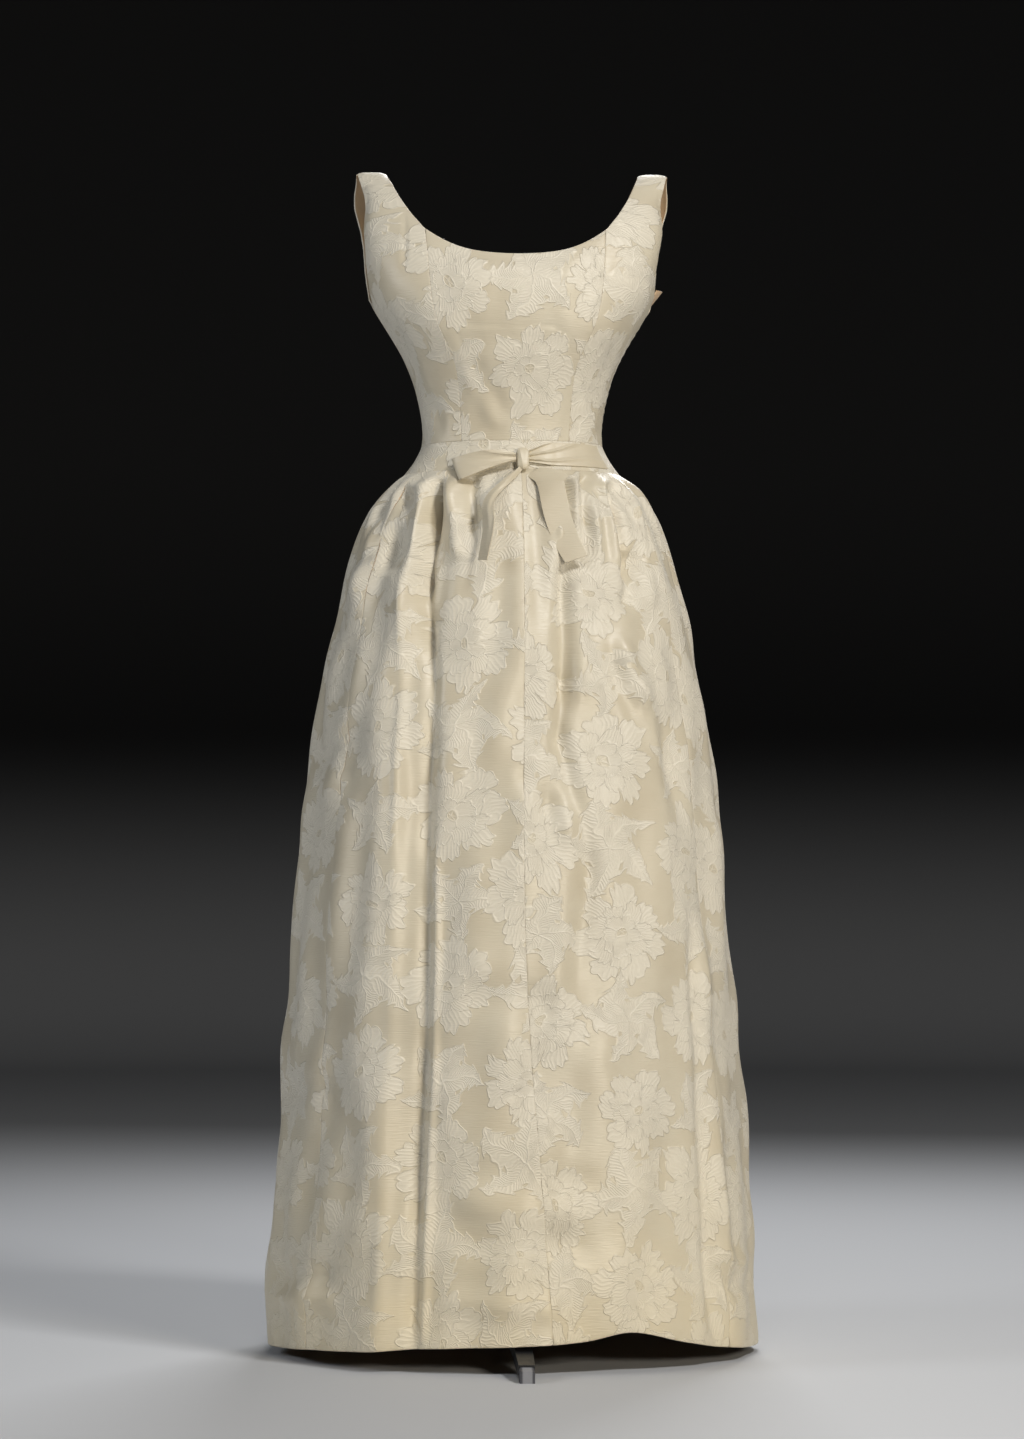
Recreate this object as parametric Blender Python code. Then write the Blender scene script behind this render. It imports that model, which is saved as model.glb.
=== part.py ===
"""A sleeveless silk evening dress on a cut-down dress form with a tripod stand.

Metres, +Z up, the floor at z = 0. The front faces -Y, and "left" and "right" are the wearer's,
so the wearer's left is +X. A turn is an angle round the dress: 0 at the front, a quarter turn at
the wearer's left side, half a turn at the back.
"""
from collections import namedtuple
from math import asin, atan2, cos, exp, hypot, pi, radians, sin

import bmesh
import bpy
from mathutils import Matrix, Vector

for old_object in list(bpy.data.objects):
    bpy.data.objects.remove(old_object, do_unlink=True)

# Cloth and seams
WALL = 0.002                # silk, interlining and facing together
RIBBON_WALL = 0.0014        # the sash and the bow, two layers of silk
SEAM_GAP = 0.0003           # left between two pieces at a seam
FORM_EASE = 0.0052          # air between the form and the cloth

# Heights on the dress
SHOULDER = 1.412            # top of the straps
NECK_FRONT = 1.300          # lowest point of the scoop at the front
NECK_BACK = 1.286           # and at the back
NECK_ROUND = 1.85           # power of the scoop: 2 is a parabola
WAISTBAND_TOP = 1.083
WAIST_SEAM = 1.048          # the skirt is gathered in here

# One row for each ring of the dress, from the shoulders to the floor. Squareness is the power
# of the ring's sine and cosine: 1 is an ellipse, less is nearer to a rounded box.
Ring = namedtuple("Ring", "height half_width front back squareness")
RINGS = (
    Ring(1.412, 0.1900, 0.0004, 0.0004, 0.65),
    Ring(1.409, 0.1900, 0.0120, 0.0120, 0.65),
    Ring(1.402, 0.1900, 0.0270, 0.0270, 0.65),
    Ring(1.390, 0.1895, 0.0420, 0.0430, 0.65),
    Ring(1.360, 0.1870, 0.0700, 0.0700, 0.65),
    Ring(1.333, 0.1845, 0.0880, 0.0860, 0.66),
    Ring(1.300, 0.1810, 0.1060, 0.0960, 0.68),
    Ring(1.270, 0.1760, 0.1170, 0.1010, 0.72),
    Ring(1.248, 0.1665, 0.1210, 0.1020, 0.77),
    Ring(1.221, 0.1495, 0.1220, 0.1000, 0.82),
    Ring(1.182, 0.1275, 0.1110, 0.0940, 0.88),
    Ring(1.144, 0.1145, 0.0970, 0.0860, 0.90),
    Ring(1.106, 0.1078, 0.0880, 0.0805, 0.90),
    Ring(1.091, 0.1072, 0.0860, 0.0795, 0.90),
    Ring(1.080, 0.1100, 0.0870, 0.0815, 0.90),
    Ring(1.067, 0.1165, 0.0910, 0.0860, 0.92),
    Ring(1.048, 0.1310, 0.0990, 0.0960, 0.94),
    Ring(1.038, 0.1440, 0.1080, 0.1080, 0.95),
    Ring(1.029, 0.1535, 0.1150, 0.1190, 0.96),
    Ring(0.995, 0.1765, 0.1320, 0.1460, 0.98),
    Ring(0.947, 0.1945, 0.1490, 0.1720, 1.00),
    Ring(0.899, 0.2080, 0.1630, 0.1930, 1.00),
    Ring(0.803, 0.2280, 0.1840, 0.2270, 1.00),
    Ring(0.707, 0.2410, 0.2000, 0.2510, 1.00),
    Ring(0.611, 0.2540, 0.2120, 0.2680, 1.00),
    Ring(0.419, 0.2680, 0.2320, 0.2950, 1.00),
    Ring(0.227, 0.2810, 0.2490, 0.3150, 1.00),
    Ring(0.060, 0.2920, 0.2600, 0.3260, 1.00),
    Ring(0.000, 0.2940, 0.2620, 0.3280, 1.00),
)

# The front princess seam, and above the neckline the strap's inner edge: distance from the middle
Edge = namedtuple("Edge", "height across")
PRINCESS = (
    Edge(1.083, 0.064), Edge(1.140, 0.067), Edge(1.175, 0.072), Edge(1.200, 0.083),
    Edge(1.225, 0.094), Edge(1.250, 0.100), Edge(1.300, 0.105), Edge(1.333, 0.107),
    Edge(1.345, 0.118), Edge(1.360, 0.128), Edge(1.380, 0.139), Edge(1.402, 0.148),
    Edge(1.412, 0.151),
)
BACK_PRINCESS = (
    Edge(1.083, 0.052), Edge(1.200, 0.072), Edge(1.300, 0.098), Edge(1.333, 0.107),
) + PRINCESS[8:]

# How far the armhole's edge stands from the side seam, as a turn in degrees
Armhole = namedtuple("Armhole", "height degrees")
ARMHOLE = (
    Armhole(1.248, 0.0), Armhole(1.254, 6.0), Armhole(1.262, 9.0), Armhole(1.275, 12.0),
    Armhole(1.300, 15.0), Armhole(1.333, 17.0), Armhole(1.360, 17.0), Armhole(1.390, 15.0),
    Armhole(1.412, 14.0),
)

# The bust: a soft swell on each princess seam, on a general figure
CUP_TURN, CUP_HEIGHT = radians(38), 1.212
CUP_SPREAD, CUP_TALL, CUP_DEPTH = radians(17), 0.034, 0.006

# The centre-front seam of the skirt swings to the wearer's left as it falls
CentreSeam = namedtuple("CentreSeam", "height degrees")
CENTRE_SEAM = (
    CentreSeam(1.048, 2.0), CentreSeam(0.870, 1.5), CentreSeam(0.570, 0.5),
    CentreSeam(0.360, 2.0), CentreSeam(0.210, 4.5), CentreSeam(0.000, 7.0),
)
FRONT_GORE, SIDE_GORE = radians(58), radians(122)

# Gathers under the waist seam die out down the skirt, and soft flutes grow towards the hem
Ruffle = namedtuple("Ruffle", "height gathers flutes")
RUFFLES = (
    Ruffle(1.048, 0.0000, 0.0000), Ruffle(1.038, 0.0030, 0.0000), Ruffle(1.020, 0.0040, 0.0000),
    Ruffle(0.980, 0.0032, 0.0000), Ruffle(0.930, 0.0020, 0.0003), Ruffle(0.860, 0.0008, 0.0010),
    Ruffle(0.780, 0.0000, 0.0020), Ruffle(0.400, 0.0000, 0.0028), Ruffle(0.000, 0.0000, 0.0040),
)
GATHERS, FLUTES = 24, 9     # how many of each all round

# The largest folds. Turns and widths are in degrees, depths in metres: below 0 is a valley.
# Each fades out within its fade of its two ends.
Fold = namedtuple("Fold", "top bottom top_turn bottom_turn width depth fade")
FOLDS = (
    Fold(1.030, -0.100, -30, -25, 5.5, -0.013, 0.060),      # deep valley beside the front
    Fold(1.030, -0.100, -43, -34, 6.0, 0.010, 0.080),       # and the ridge outside it
    Fold(1.035, 0.880, -62, -48, 5.0, -0.007, 0.040),
    Fold(1.035, 0.900, -53, -44, 4.0, 0.004, 0.030),
    Fold(1.035, 0.850, 57, 41, 5.0, -0.009, 0.040),         # valley below the sash's end
    Fold(0.880, 0.780, 34, 44, 6.0, 0.005, 0.040),
    Fold(0.960, 0.740, 19, 16, 5.0, -0.006, 0.050),
    Fold(0.640, 0.420, 20, 19, 6.0, -0.005, 0.080),
    Fold(0.730, 0.620, 5, 6, 7.0, -0.004, 0.030),
    Fold(0.700, -0.100, -12, -10, 8.0, 0.004, 0.150),
    Fold(0.500, -0.100, 36, 38, 7.0, -0.006, 0.150),
    Fold(1.030, -0.100, 84, 76, 6.0, -0.007, 0.080),
    Fold(1.030, -0.100, 108, 112, 7.0, 0.006, 0.080),
    Fold(1.030, -0.100, 133, 138, 6.0, -0.010, 0.070),
    Fold(1.030, -0.100, 160, 158, 7.0, 0.008, 0.070),
    Fold(1.030, -0.100, 186, 184, 6.0, -0.007, 0.070),
    Fold(1.030, -0.100, 207, 205, 7.0, 0.008, 0.070),
    Fold(1.030, -0.100, 229, 226, 6.0, -0.011, 0.070),
    Fold(1.030, -0.100, 250, 252, 7.0, 0.005, 0.080),
    Fold(1.030, -0.100, 277, 283, 6.0, -0.006, 0.080),
)

# The hem's height above the floor round the skirt: it rides up over the stand's three legs
HemPoint = namedtuple("HemPoint", "degrees height")
HEM = (
    HemPoint(-180, 0.014), HemPoint(-150, 0.018), HemPoint(-120, 0.036), HemPoint(-100, 0.014),
    HemPoint(-80, 0.011), HemPoint(-60, 0.017), HemPoint(-40, 0.022), HemPoint(-20, 0.029),
    HemPoint(0, 0.033), HemPoint(14, 0.036), HemPoint(25, 0.046), HemPoint(40, 0.031),
    HemPoint(55, 0.019), HemPoint(80, 0.010), HemPoint(100, 0.014), HemPoint(120, 0.036),
    HemPoint(150, 0.018), HemPoint(180, 0.014),
)

# Rows of points up the panels
BODICE_ROWS = (1.083, 1.098, 1.116, 1.135, 1.154, 1.173, 1.192, 1.211, 1.230, 1.248, 1.262,
               1.285, 1.309, 1.333)
STRAP_ROWS = (1.350, 1.368, 1.384, 1.396, 1.404, 1.4095, 1.412)
BAND_ROWS = (1.048, 1.0525, 1.062, 1.0715, 1.0805, 1.083)
SKIRT_ROWS = (1.048, 1.040, 1.030, 1.015, 0.995, 0.965, 0.925, 0.870, 0.800, 0.710, 0.610,
              0.500, 0.390, 0.280, 0.180, 0.095)
CENTRE_COLUMNS, SIDE_COLUMNS = 8, 6
BAND_COLUMNS = 24           # from side seam to side seam
GORE_COLUMNS = 16

# The sash lies on the waistband, and the bow is tied in its right end
SASH_LIFT = 0.0005
PLACKET_DROP, PLACKET_WALL = 0.0006, 0.0010     # the closing's underlap, inside the wall
SASH_FIRST, SASH_LAST = 12, 20      # columns of the waistband that the sash covers
KNOT_ACROSS, KNOT_HEIGHT = 0.0075, 1.0600
KNOT_WIDTH, KNOT_TALL, KNOT_DEEP = 0.0150, 0.0250, 0.0110

# The stand
POLE_RADIUS = 0.0145
FORM_BOTTOM, FORM_TOP = 1.030, 1.285
FORM_ROWS = (FORM_BOTTOM, 1.048, 1.0625, 1.0715, 1.083, 1.098, 1.116, 1.135, 1.154, 1.173, 1.192,
             1.211, 1.230, 1.248, 1.262, FORM_TOP)
FORM_TURNS = (0, 12, 24, 35, 46, 54, 69, 80, 90)    # degrees, the same at front and back
RISE_COLUMN = 5             # the rises grow between this turn and the next
RISE_INNER, RISE_OUTER = 0.158, 0.172
RISE_ROWS = (1.309, 1.333, 1.350, 1.368, 1.384, 1.396, 1.404)
HUB_FLAT = 0.028            # from the middle to the hub's flats, which carry the legs
HUB_BOTTOM, HUB_TOP = 0.030, 0.082
LEG_TIP = 0.334             # reach of each foot from the middle
FOOT_LENGTH, FOOT_HEIGHT = 0.0155, 0.0165
LEG_TURNS = {"front": 0.0, "left": radians(120), "right": radians(-120)}

# Colours: linear red, green and blue
CREAM_SILK = (0.66, 0.60, 0.48)
RIBBON_SILK = (0.72, 0.66, 0.54)
PEACH_LINING = (0.55, 0.38, 0.24)
FORM_COVER = (0.60, 0.56, 0.48)
BLACK_PAINT = (0.02, 0.02, 0.022)
GREY_RUBBER = (0.35, 0.35, 0.36)


def smooth_value(rows, column, at):
    """Read a column of a table at a height or turn, on a curve that never overshoots its rows."""
    rows = sorted(rows)
    at = min(max(at, rows[0][0]), rows[-1][0])
    index = 0
    while index < len(rows) - 2 and rows[index + 1][0] < at:
        index += 1

    def slope(left):
        run = rows[left + 1][0] - rows[left][0]
        return (getattr(rows[left + 1], column) - getattr(rows[left], column)) / run

    def tangent(point):
        if point == 0:
            return slope(0)
        if point == len(rows) - 1:
            return slope(point - 1)
        before, after = slope(point - 1), slope(point)
        if before * after <= 0:
            return 0.0
        return 2 * before * after / (before + after)

    low, high = rows[index], rows[index + 1]
    run = high[0] - low[0]
    part = (at - low[0]) / run
    start, end = getattr(low, column), getattr(high, column)
    rise = end - start
    curve = 3 * part ** 2 - 2 * part ** 3
    start_pull = part * (1 - part) ** 2 * run * tangent(index)
    end_pull = part ** 2 * (part - 1) * run * tangent(index + 1)
    return start + rise * curve + start_pull + end_pull


def signed_power(value, power):
    return abs(value) ** power * (1 if value >= 0 else -1)


def ring_at(height):
    return Ring(height, *(smooth_value(RINGS, column, height) for column in Ring._fields[1:]))


def plain_point(turn, height):
    """The dress's outer face without its cups, gathers and folds."""
    ring = ring_at(height)
    depth = ring.front if cos(turn) > 0 else ring.back
    return Vector((ring.half_width * signed_power(sin(turn), ring.squareness),
                   -depth * signed_power(cos(turn), ring.squareness), height))


def turn_between(first, second):
    """The shorter way from one turn to another."""
    return (second - first + pi) % (2 * pi) - pi


def relief(turn, height):
    """How far cups, gathers and folds stand out of the plain outer face."""
    if height > WAIST_SEAM:
        side = turn_between(CUP_TURN, abs(turn_between(0, turn))) / CUP_SPREAD
        return CUP_DEPTH * exp(-side ** 2 - ((height - CUP_HEIGHT) / CUP_TALL) ** 2)
    uneven = 1.1 * sin(3 * turn) + 0.7 * sin(5 * turn + 1)
    out = smooth_value(RUFFLES, "gathers", height) * cos(GATHERS * turn + uneven)
    out += smooth_value(RUFFLES, "flutes", height) * cos(FLUTES * turn + uneven)
    for fold in FOLDS:
        down = (fold.top - height) / (fold.top - fold.bottom)
        middle = radians(fold.top_turn + (fold.bottom_turn - fold.top_turn) * down)
        aside = turn_between(middle, turn) / radians(fold.width)
        inside = min(fold.top - height, height - fold.bottom)
        strength = min(max(inside / fold.fade, 0), 1)
        out += fold.depth * exp(-aside ** 2) * strength ** 2 * (3 - 2 * strength)
    return out


def dress_point(turn, height):
    """A point of the dress's outer face, cups, gathers and folds included."""
    step = 0.002
    along = plain_point(turn + step, height) - plain_point(turn - step, height)
    if along.length < 1e-9:
        return plain_point(turn, height)
    outward = Vector((along.y, -along.x, 0)).normalized()
    return plain_point(turn, height) + outward * relief(turn, height)


def dress_normal(turn, height):
    """The outward direction at a point of the dress."""
    turn_step, height_step = 0.004, 0.0008
    along = dress_point(turn + turn_step, height) - dress_point(turn - turn_step, height)
    low = max(height - height_step, 0)
    high = min(height + height_step, SHOULDER)
    up = dress_point(turn, high) - dress_point(turn, low)
    return along.cross(up).normalized()


def turn_for(across, height):
    """The turn at which the front of a ring stands this far from the middle."""
    ring = ring_at(height)
    share = min(abs(across) / ring.half_width, 1.0)
    return asin(share ** (1 / ring.squareness)) * (1 if across >= 0 else -1)


def hem_height(turn):
    return smooth_value(HEM, "height", turn_between(0, turn) * 180 / pi)


def material(name, colour, roughness, metallic=0.0):
    """One Principled material for one piece."""
    made = bpy.data.materials.new(name)
    made.use_nodes = True
    shader = made.node_tree.nodes["Principled BSDF"]
    shader.inputs["Base Color"].default_value = (*colour, 1)
    shader.inputs["Roughness"].default_value = roughness
    shader.inputs["Metallic"].default_value = metallic
    return made


def finish_object(name, shape, colour, roughness, metallic=0.0):
    """Make a bmesh the one closed mesh of a named object, with flat faces split in triangles."""
    bmesh.ops.triangulate(shape, faces=shape.faces)
    mesh = bpy.data.meshes.new(name)
    shape.to_mesh(mesh)
    shape.free()
    made = bpy.data.objects.new(name, mesh)
    bpy.context.scene.collection.objects.link(made)
    mesh.materials.append(material(name, colour, roughness, metallic))
    mesh.shade_smooth()
    mesh.set_sharp_from_angle(angle=radians(40))
    return made


def pull_in_edges(grid, distance):
    """Draw a grid's four edges towards its middle, which leaves the gap at each seam."""
    for row in grid:
        row[0] += (row[1] - row[0]).normalized() * distance
        row[-1] += (row[-2] - row[-1]).normalized() * distance
    for column in range(len(grid[0])):
        low, next_low = grid[0][column], grid[1][column]
        low += (next_low - low).normalized() * distance
        high, next_high = grid[-1][column], grid[-2][column]
        high += (next_high - high).normalized() * distance


def closed_wall(name, outer, inner, colour, roughness=0.5):
    """Close two matching grids of points into one wall. Rows run up, columns to the left."""
    shape = bmesh.new()
    outside = [[shape.verts.new(point) for point in row] for row in outer]
    inside = [[shape.verts.new(point) for point in row] for row in inner]
    rows, columns = len(outer), len(outer[0])
    for row in range(rows - 1):
        for column in range(columns - 1):
            near, far = outside[row], outside[row + 1]
            shape.faces.new((near[column], near[column + 1], far[column + 1], far[column]))
            near, far = inside[row], inside[row + 1]
            shape.faces.new((near[column], far[column], far[column + 1], near[column + 1]))
    rim = [(0, column) for column in range(columns)]
    rim += [(row, columns - 1) for row in range(1, rows)]
    rim += [(rows - 1, column) for column in range(columns - 2, -1, -1)]
    rim += [(row, 0) for row in range(rows - 2, 0, -1)]
    for here, there in zip(rim, rim[1:] + rim[:1]):
        shape.faces.new((outside[there[0]][there[1]], outside[here[0]][here[1]],
                         inside[here[0]][here[1]], inside[there[0]][there[1]]))
    return finish_object(name, shape, colour, roughness)


def cloth_panel(name, places, shoulder_seam=False, wall=WALL, lift=0.0, colour=CREAM_SILK):
    """A panel of the dress from a grid of (turn, height) places, lifted off the outer face."""
    outer, inner = [], []
    for row in places:
        outer.append([])
        inner.append([])
        for turn, height in row:
            point, normal = dress_point(turn, height), dress_normal(turn, height)
            if shoulder_seam and row is places[-1]:
                normal = Vector((normal.x, 0, normal.z)).normalized()
            outer[-1].append(point + normal * (lift + (wall if lift > 0 else 0)))
            inner[-1].append(point + normal * (lift - (0 if lift > 0 else wall)))
    if lift == 0:
        pull_in_edges(outer, SEAM_GAP / 2)
        pull_in_edges(inner, SEAM_GAP / 2)
    return closed_wall(name, outer, inner, colour)


def spread(start, end, count):
    """Evenly spaced values, both ends included."""
    return [start + (end - start) * step / count for step in range(count + 1)]


def centre_places(seam, neck, faces_back):
    """The grid of a centre panel: its middle columns end at the neckline, its sides at the top."""
    base, top = BODICE_ROWS[0], BODICE_ROWS[-1]
    places = []
    for row_height in BODICE_ROWS:
        row = []
        for share in spread(-1, 1, CENTRE_COLUMNS):
            scoop = neck + (top - neck) * abs(share) ** NECK_ROUND
            height = base + (row_height - base) * (scoop - base) / (top - base)
            turn = share * turn_for(smooth_value(seam, "across", height), height)
            row.append((pi + turn if faces_back else turn, height))
        places.append(row)
    return places


def side_places(seam, faces_back, left):
    """The grid of a side panel and its strap, from the princess seam to side seam and armhole."""
    places = []
    for height in BODICE_ROWS + STRAP_ROWS:
        inner_turn = turn_for(smooth_value(seam, "across", height), height)
        outer_turn = pi / 2 - radians(smooth_value(ARMHOLE, "degrees", height))
        row = [(turn, height) for turn in spread(inner_turn, outer_turn, SIDE_COLUMNS)]
        if faces_back:
            row = [(pi - turn, height) for turn, height in reversed(row)]
        if not left:
            row = [(-turn, height) for turn, height in reversed(row)]
        places.append(row)
    return places


def build_bodice():
    cloth_panel("bodice_front_centre", centre_places(PRINCESS, NECK_FRONT, False))
    cloth_panel("bodice_back_centre", centre_places(BACK_PRINCESS, NECK_BACK, True))
    for hand in ("left", "right"):
        cloth_panel("bodice_front_" + hand, side_places(PRINCESS, False, hand == "left"), True)
        cloth_panel("bodice_back_" + hand, side_places(BACK_PRINCESS, True, hand == "left"), True)


def build_waistband():
    for side, start in (("front", -pi / 2), ("back", pi / 2)):
        turns = spread(start, start + pi, BAND_COLUMNS)
        cloth_panel("waistband_" + side, [[(turn, height) for turn in turns]
                                          for height in BAND_ROWS])


def gore_places(first, last):
    """The grid of a skirt gore, top row last, between two seams given as functions of height."""
    places = []
    for share_row in range(len(SKIRT_ROWS), -1, -1):
        row = []
        for share in spread(0, 1, GORE_COLUMNS):
            if share_row < len(SKIRT_ROWS):
                height = SKIRT_ROWS[share_row]
            else:
                height = hem_height(first(0) + (last(0) - first(0)) * share)
            row.append((first(height) + (last(height) - first(height)) * share, height))
        places.append(row)
    return places


def build_skirt():
    def centre_front(height):
        return radians(smooth_value(CENTRE_SEAM, "degrees", height))

    def straight(turn):
        return lambda height: turn

    seams = [straight(-pi), straight(-SIDE_GORE), straight(-FRONT_GORE), centre_front,
             straight(FRONT_GORE), straight(SIDE_GORE), straight(pi)]
    names = ("skirt_back_right", "skirt_side_right", "skirt_front_right", "skirt_front_left",
             "skirt_side_left", "skirt_back_left")
    for name, first, last in zip(names, seams, seams[1:]):
        cloth_panel(name, gore_places(first, last))


def build_placket():
    """The underlap of the closing, inside the back of the left side seam. Its top corner stands
    a little above the armhole's lowest point."""
    rows = side_places(BACK_PRINCESS, True, True)[1:11]
    rows = [[(pi / 2, row[0][1]), row[1]] for row in rows]
    outer, inner = [], []
    for row in rows:
        points = [(dress_point(*place), dress_normal(*place)) for place in row]
        outer.append([point - normal * (WALL + PLACKET_DROP) for point, normal in points])
        inner.append([point - normal * (WALL + PLACKET_DROP + PLACKET_WALL)
                      for point, normal in points])
    closed_wall("side_placket", outer, inner, PEACH_LINING)


def build_sash():
    turns = spread(-pi / 2, pi / 2, BAND_COLUMNS)[SASH_FIRST:SASH_LAST + 1]
    places = [[(turn, height) for turn in turns] for height in BAND_ROWS[1:-1]]
    cloth_panel("sash", places, wall=RIBBON_WALL, lift=SASH_LIFT, colour=RIBBON_SILK)


def before_dress(across, height, stand_off):
    """A point straight in front of the dress's plain outer face."""
    point = plain_point(turn_for(across, height), height)
    return Vector((across, point.y - stand_off, height))


def ribbon(name, rungs):
    """A strip through rungs, each a list of points across the ribbon, with a wall of its own."""
    outer, inner = [], []
    for index, rung in enumerate(rungs):
        outer.append([])
        inner.append([])
        before, after = rungs[max(index - 1, 0)], rungs[min(index + 1, len(rungs) - 1)]
        for column, point in enumerate(rung):
            along = after[column] - before[column]
            across = rung[min(column + 1, len(rung) - 1)] - rung[max(column - 1, 0)]
            normal = across.cross(along).normalized()
            outer[-1].append(point + normal * RIBBON_WALL / 2)
            inner[-1].append(point - normal * RIBBON_WALL / 2)
    return closed_wall(name, outer, inner, RIBBON_SILK)


Rung = namedtuple("Rung", "across height half_width stand_off lean")


def build_loop():
    """The bow's loop: out from the knot along the front, round its end and back underneath."""
    rows = (
        Rung(-0.0008, 1.0610, 0.0050, 0.0085, 0.0), Rung(-0.0120, 1.0620, 0.0075, 0.0120, 0.0),
        Rung(-0.0280, 1.0600, 0.0100, 0.0150, 0.1), Rung(-0.0450, 1.0560, 0.0120, 0.0150, 0.2),
        Rung(-0.0600, 1.0510, 0.0130, 0.0135, 0.3), Rung(-0.0690, 1.0480, 0.0132, 0.0115, 0.3),
        Rung(-0.0715, 1.0472, 0.0133, 0.0085, 0.3), Rung(-0.0690, 1.0480, 0.0132, 0.0055, 0.3),
        Rung(-0.0580, 1.0510, 0.0128, 0.0042, 0.3), Rung(-0.0420, 1.0550, 0.0110, 0.0036, 0.2),
        Rung(-0.0240, 1.0590, 0.0085, 0.0034, 0.1), Rung(-0.0060, 1.0605, 0.0050, 0.0034, 0.0),
    )
    rungs = []
    for row in rows:
        rung = []
        for share in (-1, -0.33, 0.33, 1):
            height = row.height + share * row.half_width
            across = row.across - share * row.half_width * row.lean
            near = before_dress(across, min(height, 1.055), row.stand_off)
            rung.append(Vector((across, near.y, height)))
        rungs.append(rung)
    ribbon("bow_loop", rungs)


def build_tails():
    """Two ends hang from the knot: the left one flat on the skirt, the right one twisted."""
    tails = {
        "bow_tail_left": (
            Rung(0.0130, 1.0440, 0.0060, 0.0065, 0.0), Rung(0.0230, 1.0390, 0.0100, 0.0075, 0.0),
            Rung(0.0350, 1.0300, 0.0140, 0.0085, 0.0), Rung(0.0440, 1.0080, 0.0150, 0.0095, 0.0),
            Rung(0.0520, 0.9840, 0.0152, 0.0085, 0.0), Rung(0.0590, 0.9610, 0.0152, 0.0080, 0.0),
            Rung(0.0660, 0.9380, 0.0152, 0.0080, 0.0)),
        "bow_tail_right": (
            Rung(0.0050, 1.0478, 0.0032, 0.0078, 0.0), Rung(0.0002, 1.0405, 0.0045, 0.0092, 0.1),
            Rung(-0.0080, 1.0310, 0.0060, 0.0120, 0.3), Rung(-0.0180, 1.0140, 0.0085, 0.0155, 0.6),
            Rung(-0.0260, 0.9920, 0.0115, 0.0178, 0.85), Rung(-0.0320, 0.9640, 0.0130, 0.0180, 1.05),
            Rung(-0.0360, 0.9350, 0.0135, 0.0180, 1.15)),
    }
    for name, rows in tails.items():
        rungs = []
        for index, row in enumerate(rows):
            after, before = rows[min(index + 1, len(rows) - 1)], rows[max(index - 1, 0)]
            fall = atan2(after.across - before.across, before.height - after.height)
            middle = before_dress(row.across, row.height, row.stand_off)
            side = Vector((cos(fall) * cos(row.lean), -sin(row.lean), sin(fall) * cos(row.lean)))
            rungs.append([middle + side * row.half_width * share for share in (1, 0.33, -0.33, -1)])
        ribbon(name, rungs)


def build_knot():
    """A soft block of wrapped ribbon that leans as the sash does, its back just off it."""
    shape = bmesh.new()
    bmesh.ops.create_uvsphere(shape, u_segments=12, v_segments=8, radius=1)
    for vert in shape.verts:
        across = KNOT_ACROSS + signed_power(vert.co.x, 0.7) * KNOT_WIDTH / 2
        height = KNOT_HEIGHT + signed_power(vert.co.z, 0.8) * KNOT_TALL / 2
        back = before_dress(KNOT_ACROSS, max(height, BAND_ROWS[1]),
                            SASH_LIFT + RIBBON_WALL + SEAM_GAP * 2).y
        deep = (1 - signed_power(vert.co.y, 0.8)) * KNOT_DEEP / 2
        vert.co = Vector((across, back - deep, height))
    finish_object("bow_knot", shape, RIBBON_SILK, 0.5)


def under_cloth(turn, height, ease):
    """A point of the form, this much air inside the cloth."""
    point, normal = dress_point(turn, height), dress_normal(turn, height)
    if height < WAISTBAND_TOP:
        normal = Vector((normal.x, normal.y, 0)).normalized()
    return point - normal * (WALL + ease)


def build_form():
    """A torso under the cloth, with a narrow rise that carries each strap at the shoulder."""
    quarter = [radians(degrees) for degrees in FORM_TURNS]
    turns = quarter + [pi - turn for turn in reversed(quarter[:-1])]
    turns += [turn + pi for turn in turns[1:-1]]
    count, half = len(turns), len(turns) // 2
    shape = bmesh.new()
    rings = []
    for height in FORM_ROWS:
        ring = []
        for turn in turns:
            point = under_cloth(turn, max(height, WAIST_SEAM), FORM_EASE)
            ring.append(shape.verts.new((point.x, point.y, height)))
        rings.append(ring)
    for low, high in zip(rings, rings[1:]):
        for index in range(count):
            after = (index + 1) % count
            shape.faces.new((low[index], low[after], high[after], high[index]))
    shape.faces.new(rings[0])

    # The top is closed by strips from front to back, but for the two that the rises grow from
    top = rings[-1]
    for side in (1, -1):
        for index in range(len(quarter) - 1):
            if index == RISE_COLUMN:
                continue
            strip = [top[side * index], top[side * (index + 1)],
                     top[half - side * (index + 1)], top[(half - side * index) % count]]
            strip = [vert for place, vert in enumerate(strip) if vert not in strip[:place]]
            shape.faces.new(strip)

    for side in (1, -1):
        arches = []
        for index, across in ((RISE_COLUMN, RISE_INNER), (RISE_COLUMN + 1, RISE_OUTER)):
            arch = [top[side * index]]
            climb = [(height, side * turn_for(across, height)) for height in RISE_ROWS]
            arch += [shape.verts.new(under_cloth(turn, height, FORM_EASE))
                     for height, turn in climb]
            arch.append(shape.verts.new((side * across, 0, SHOULDER - WALL - SEAM_GAP)))
            arch += [shape.verts.new(under_cloth(pi - turn, height, FORM_EASE))
                     for height, turn in reversed(climb)]
            arch.append(top[half - side * index])
            arches.append(arch)
        for inner, outer, inner_next, outer_next in zip(*arches, arches[0][1:], arches[1][1:]):
            shape.faces.new((inner, outer, outer_next, inner_next))
        for arch in arches:
            for step in range(len(arch) // 2):
                sheet = [arch[step], arch[step + 1], arch[-2 - step], arch[-1 - step]]
                sheet = [vert for place, vert in enumerate(sheet) if vert not in sheet[:place]]
                shape.faces.new(sheet)
    bmesh.ops.recalc_face_normals(shape, faces=shape.faces)
    finish_object("form", shape, FORM_COVER, 0.8)


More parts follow.
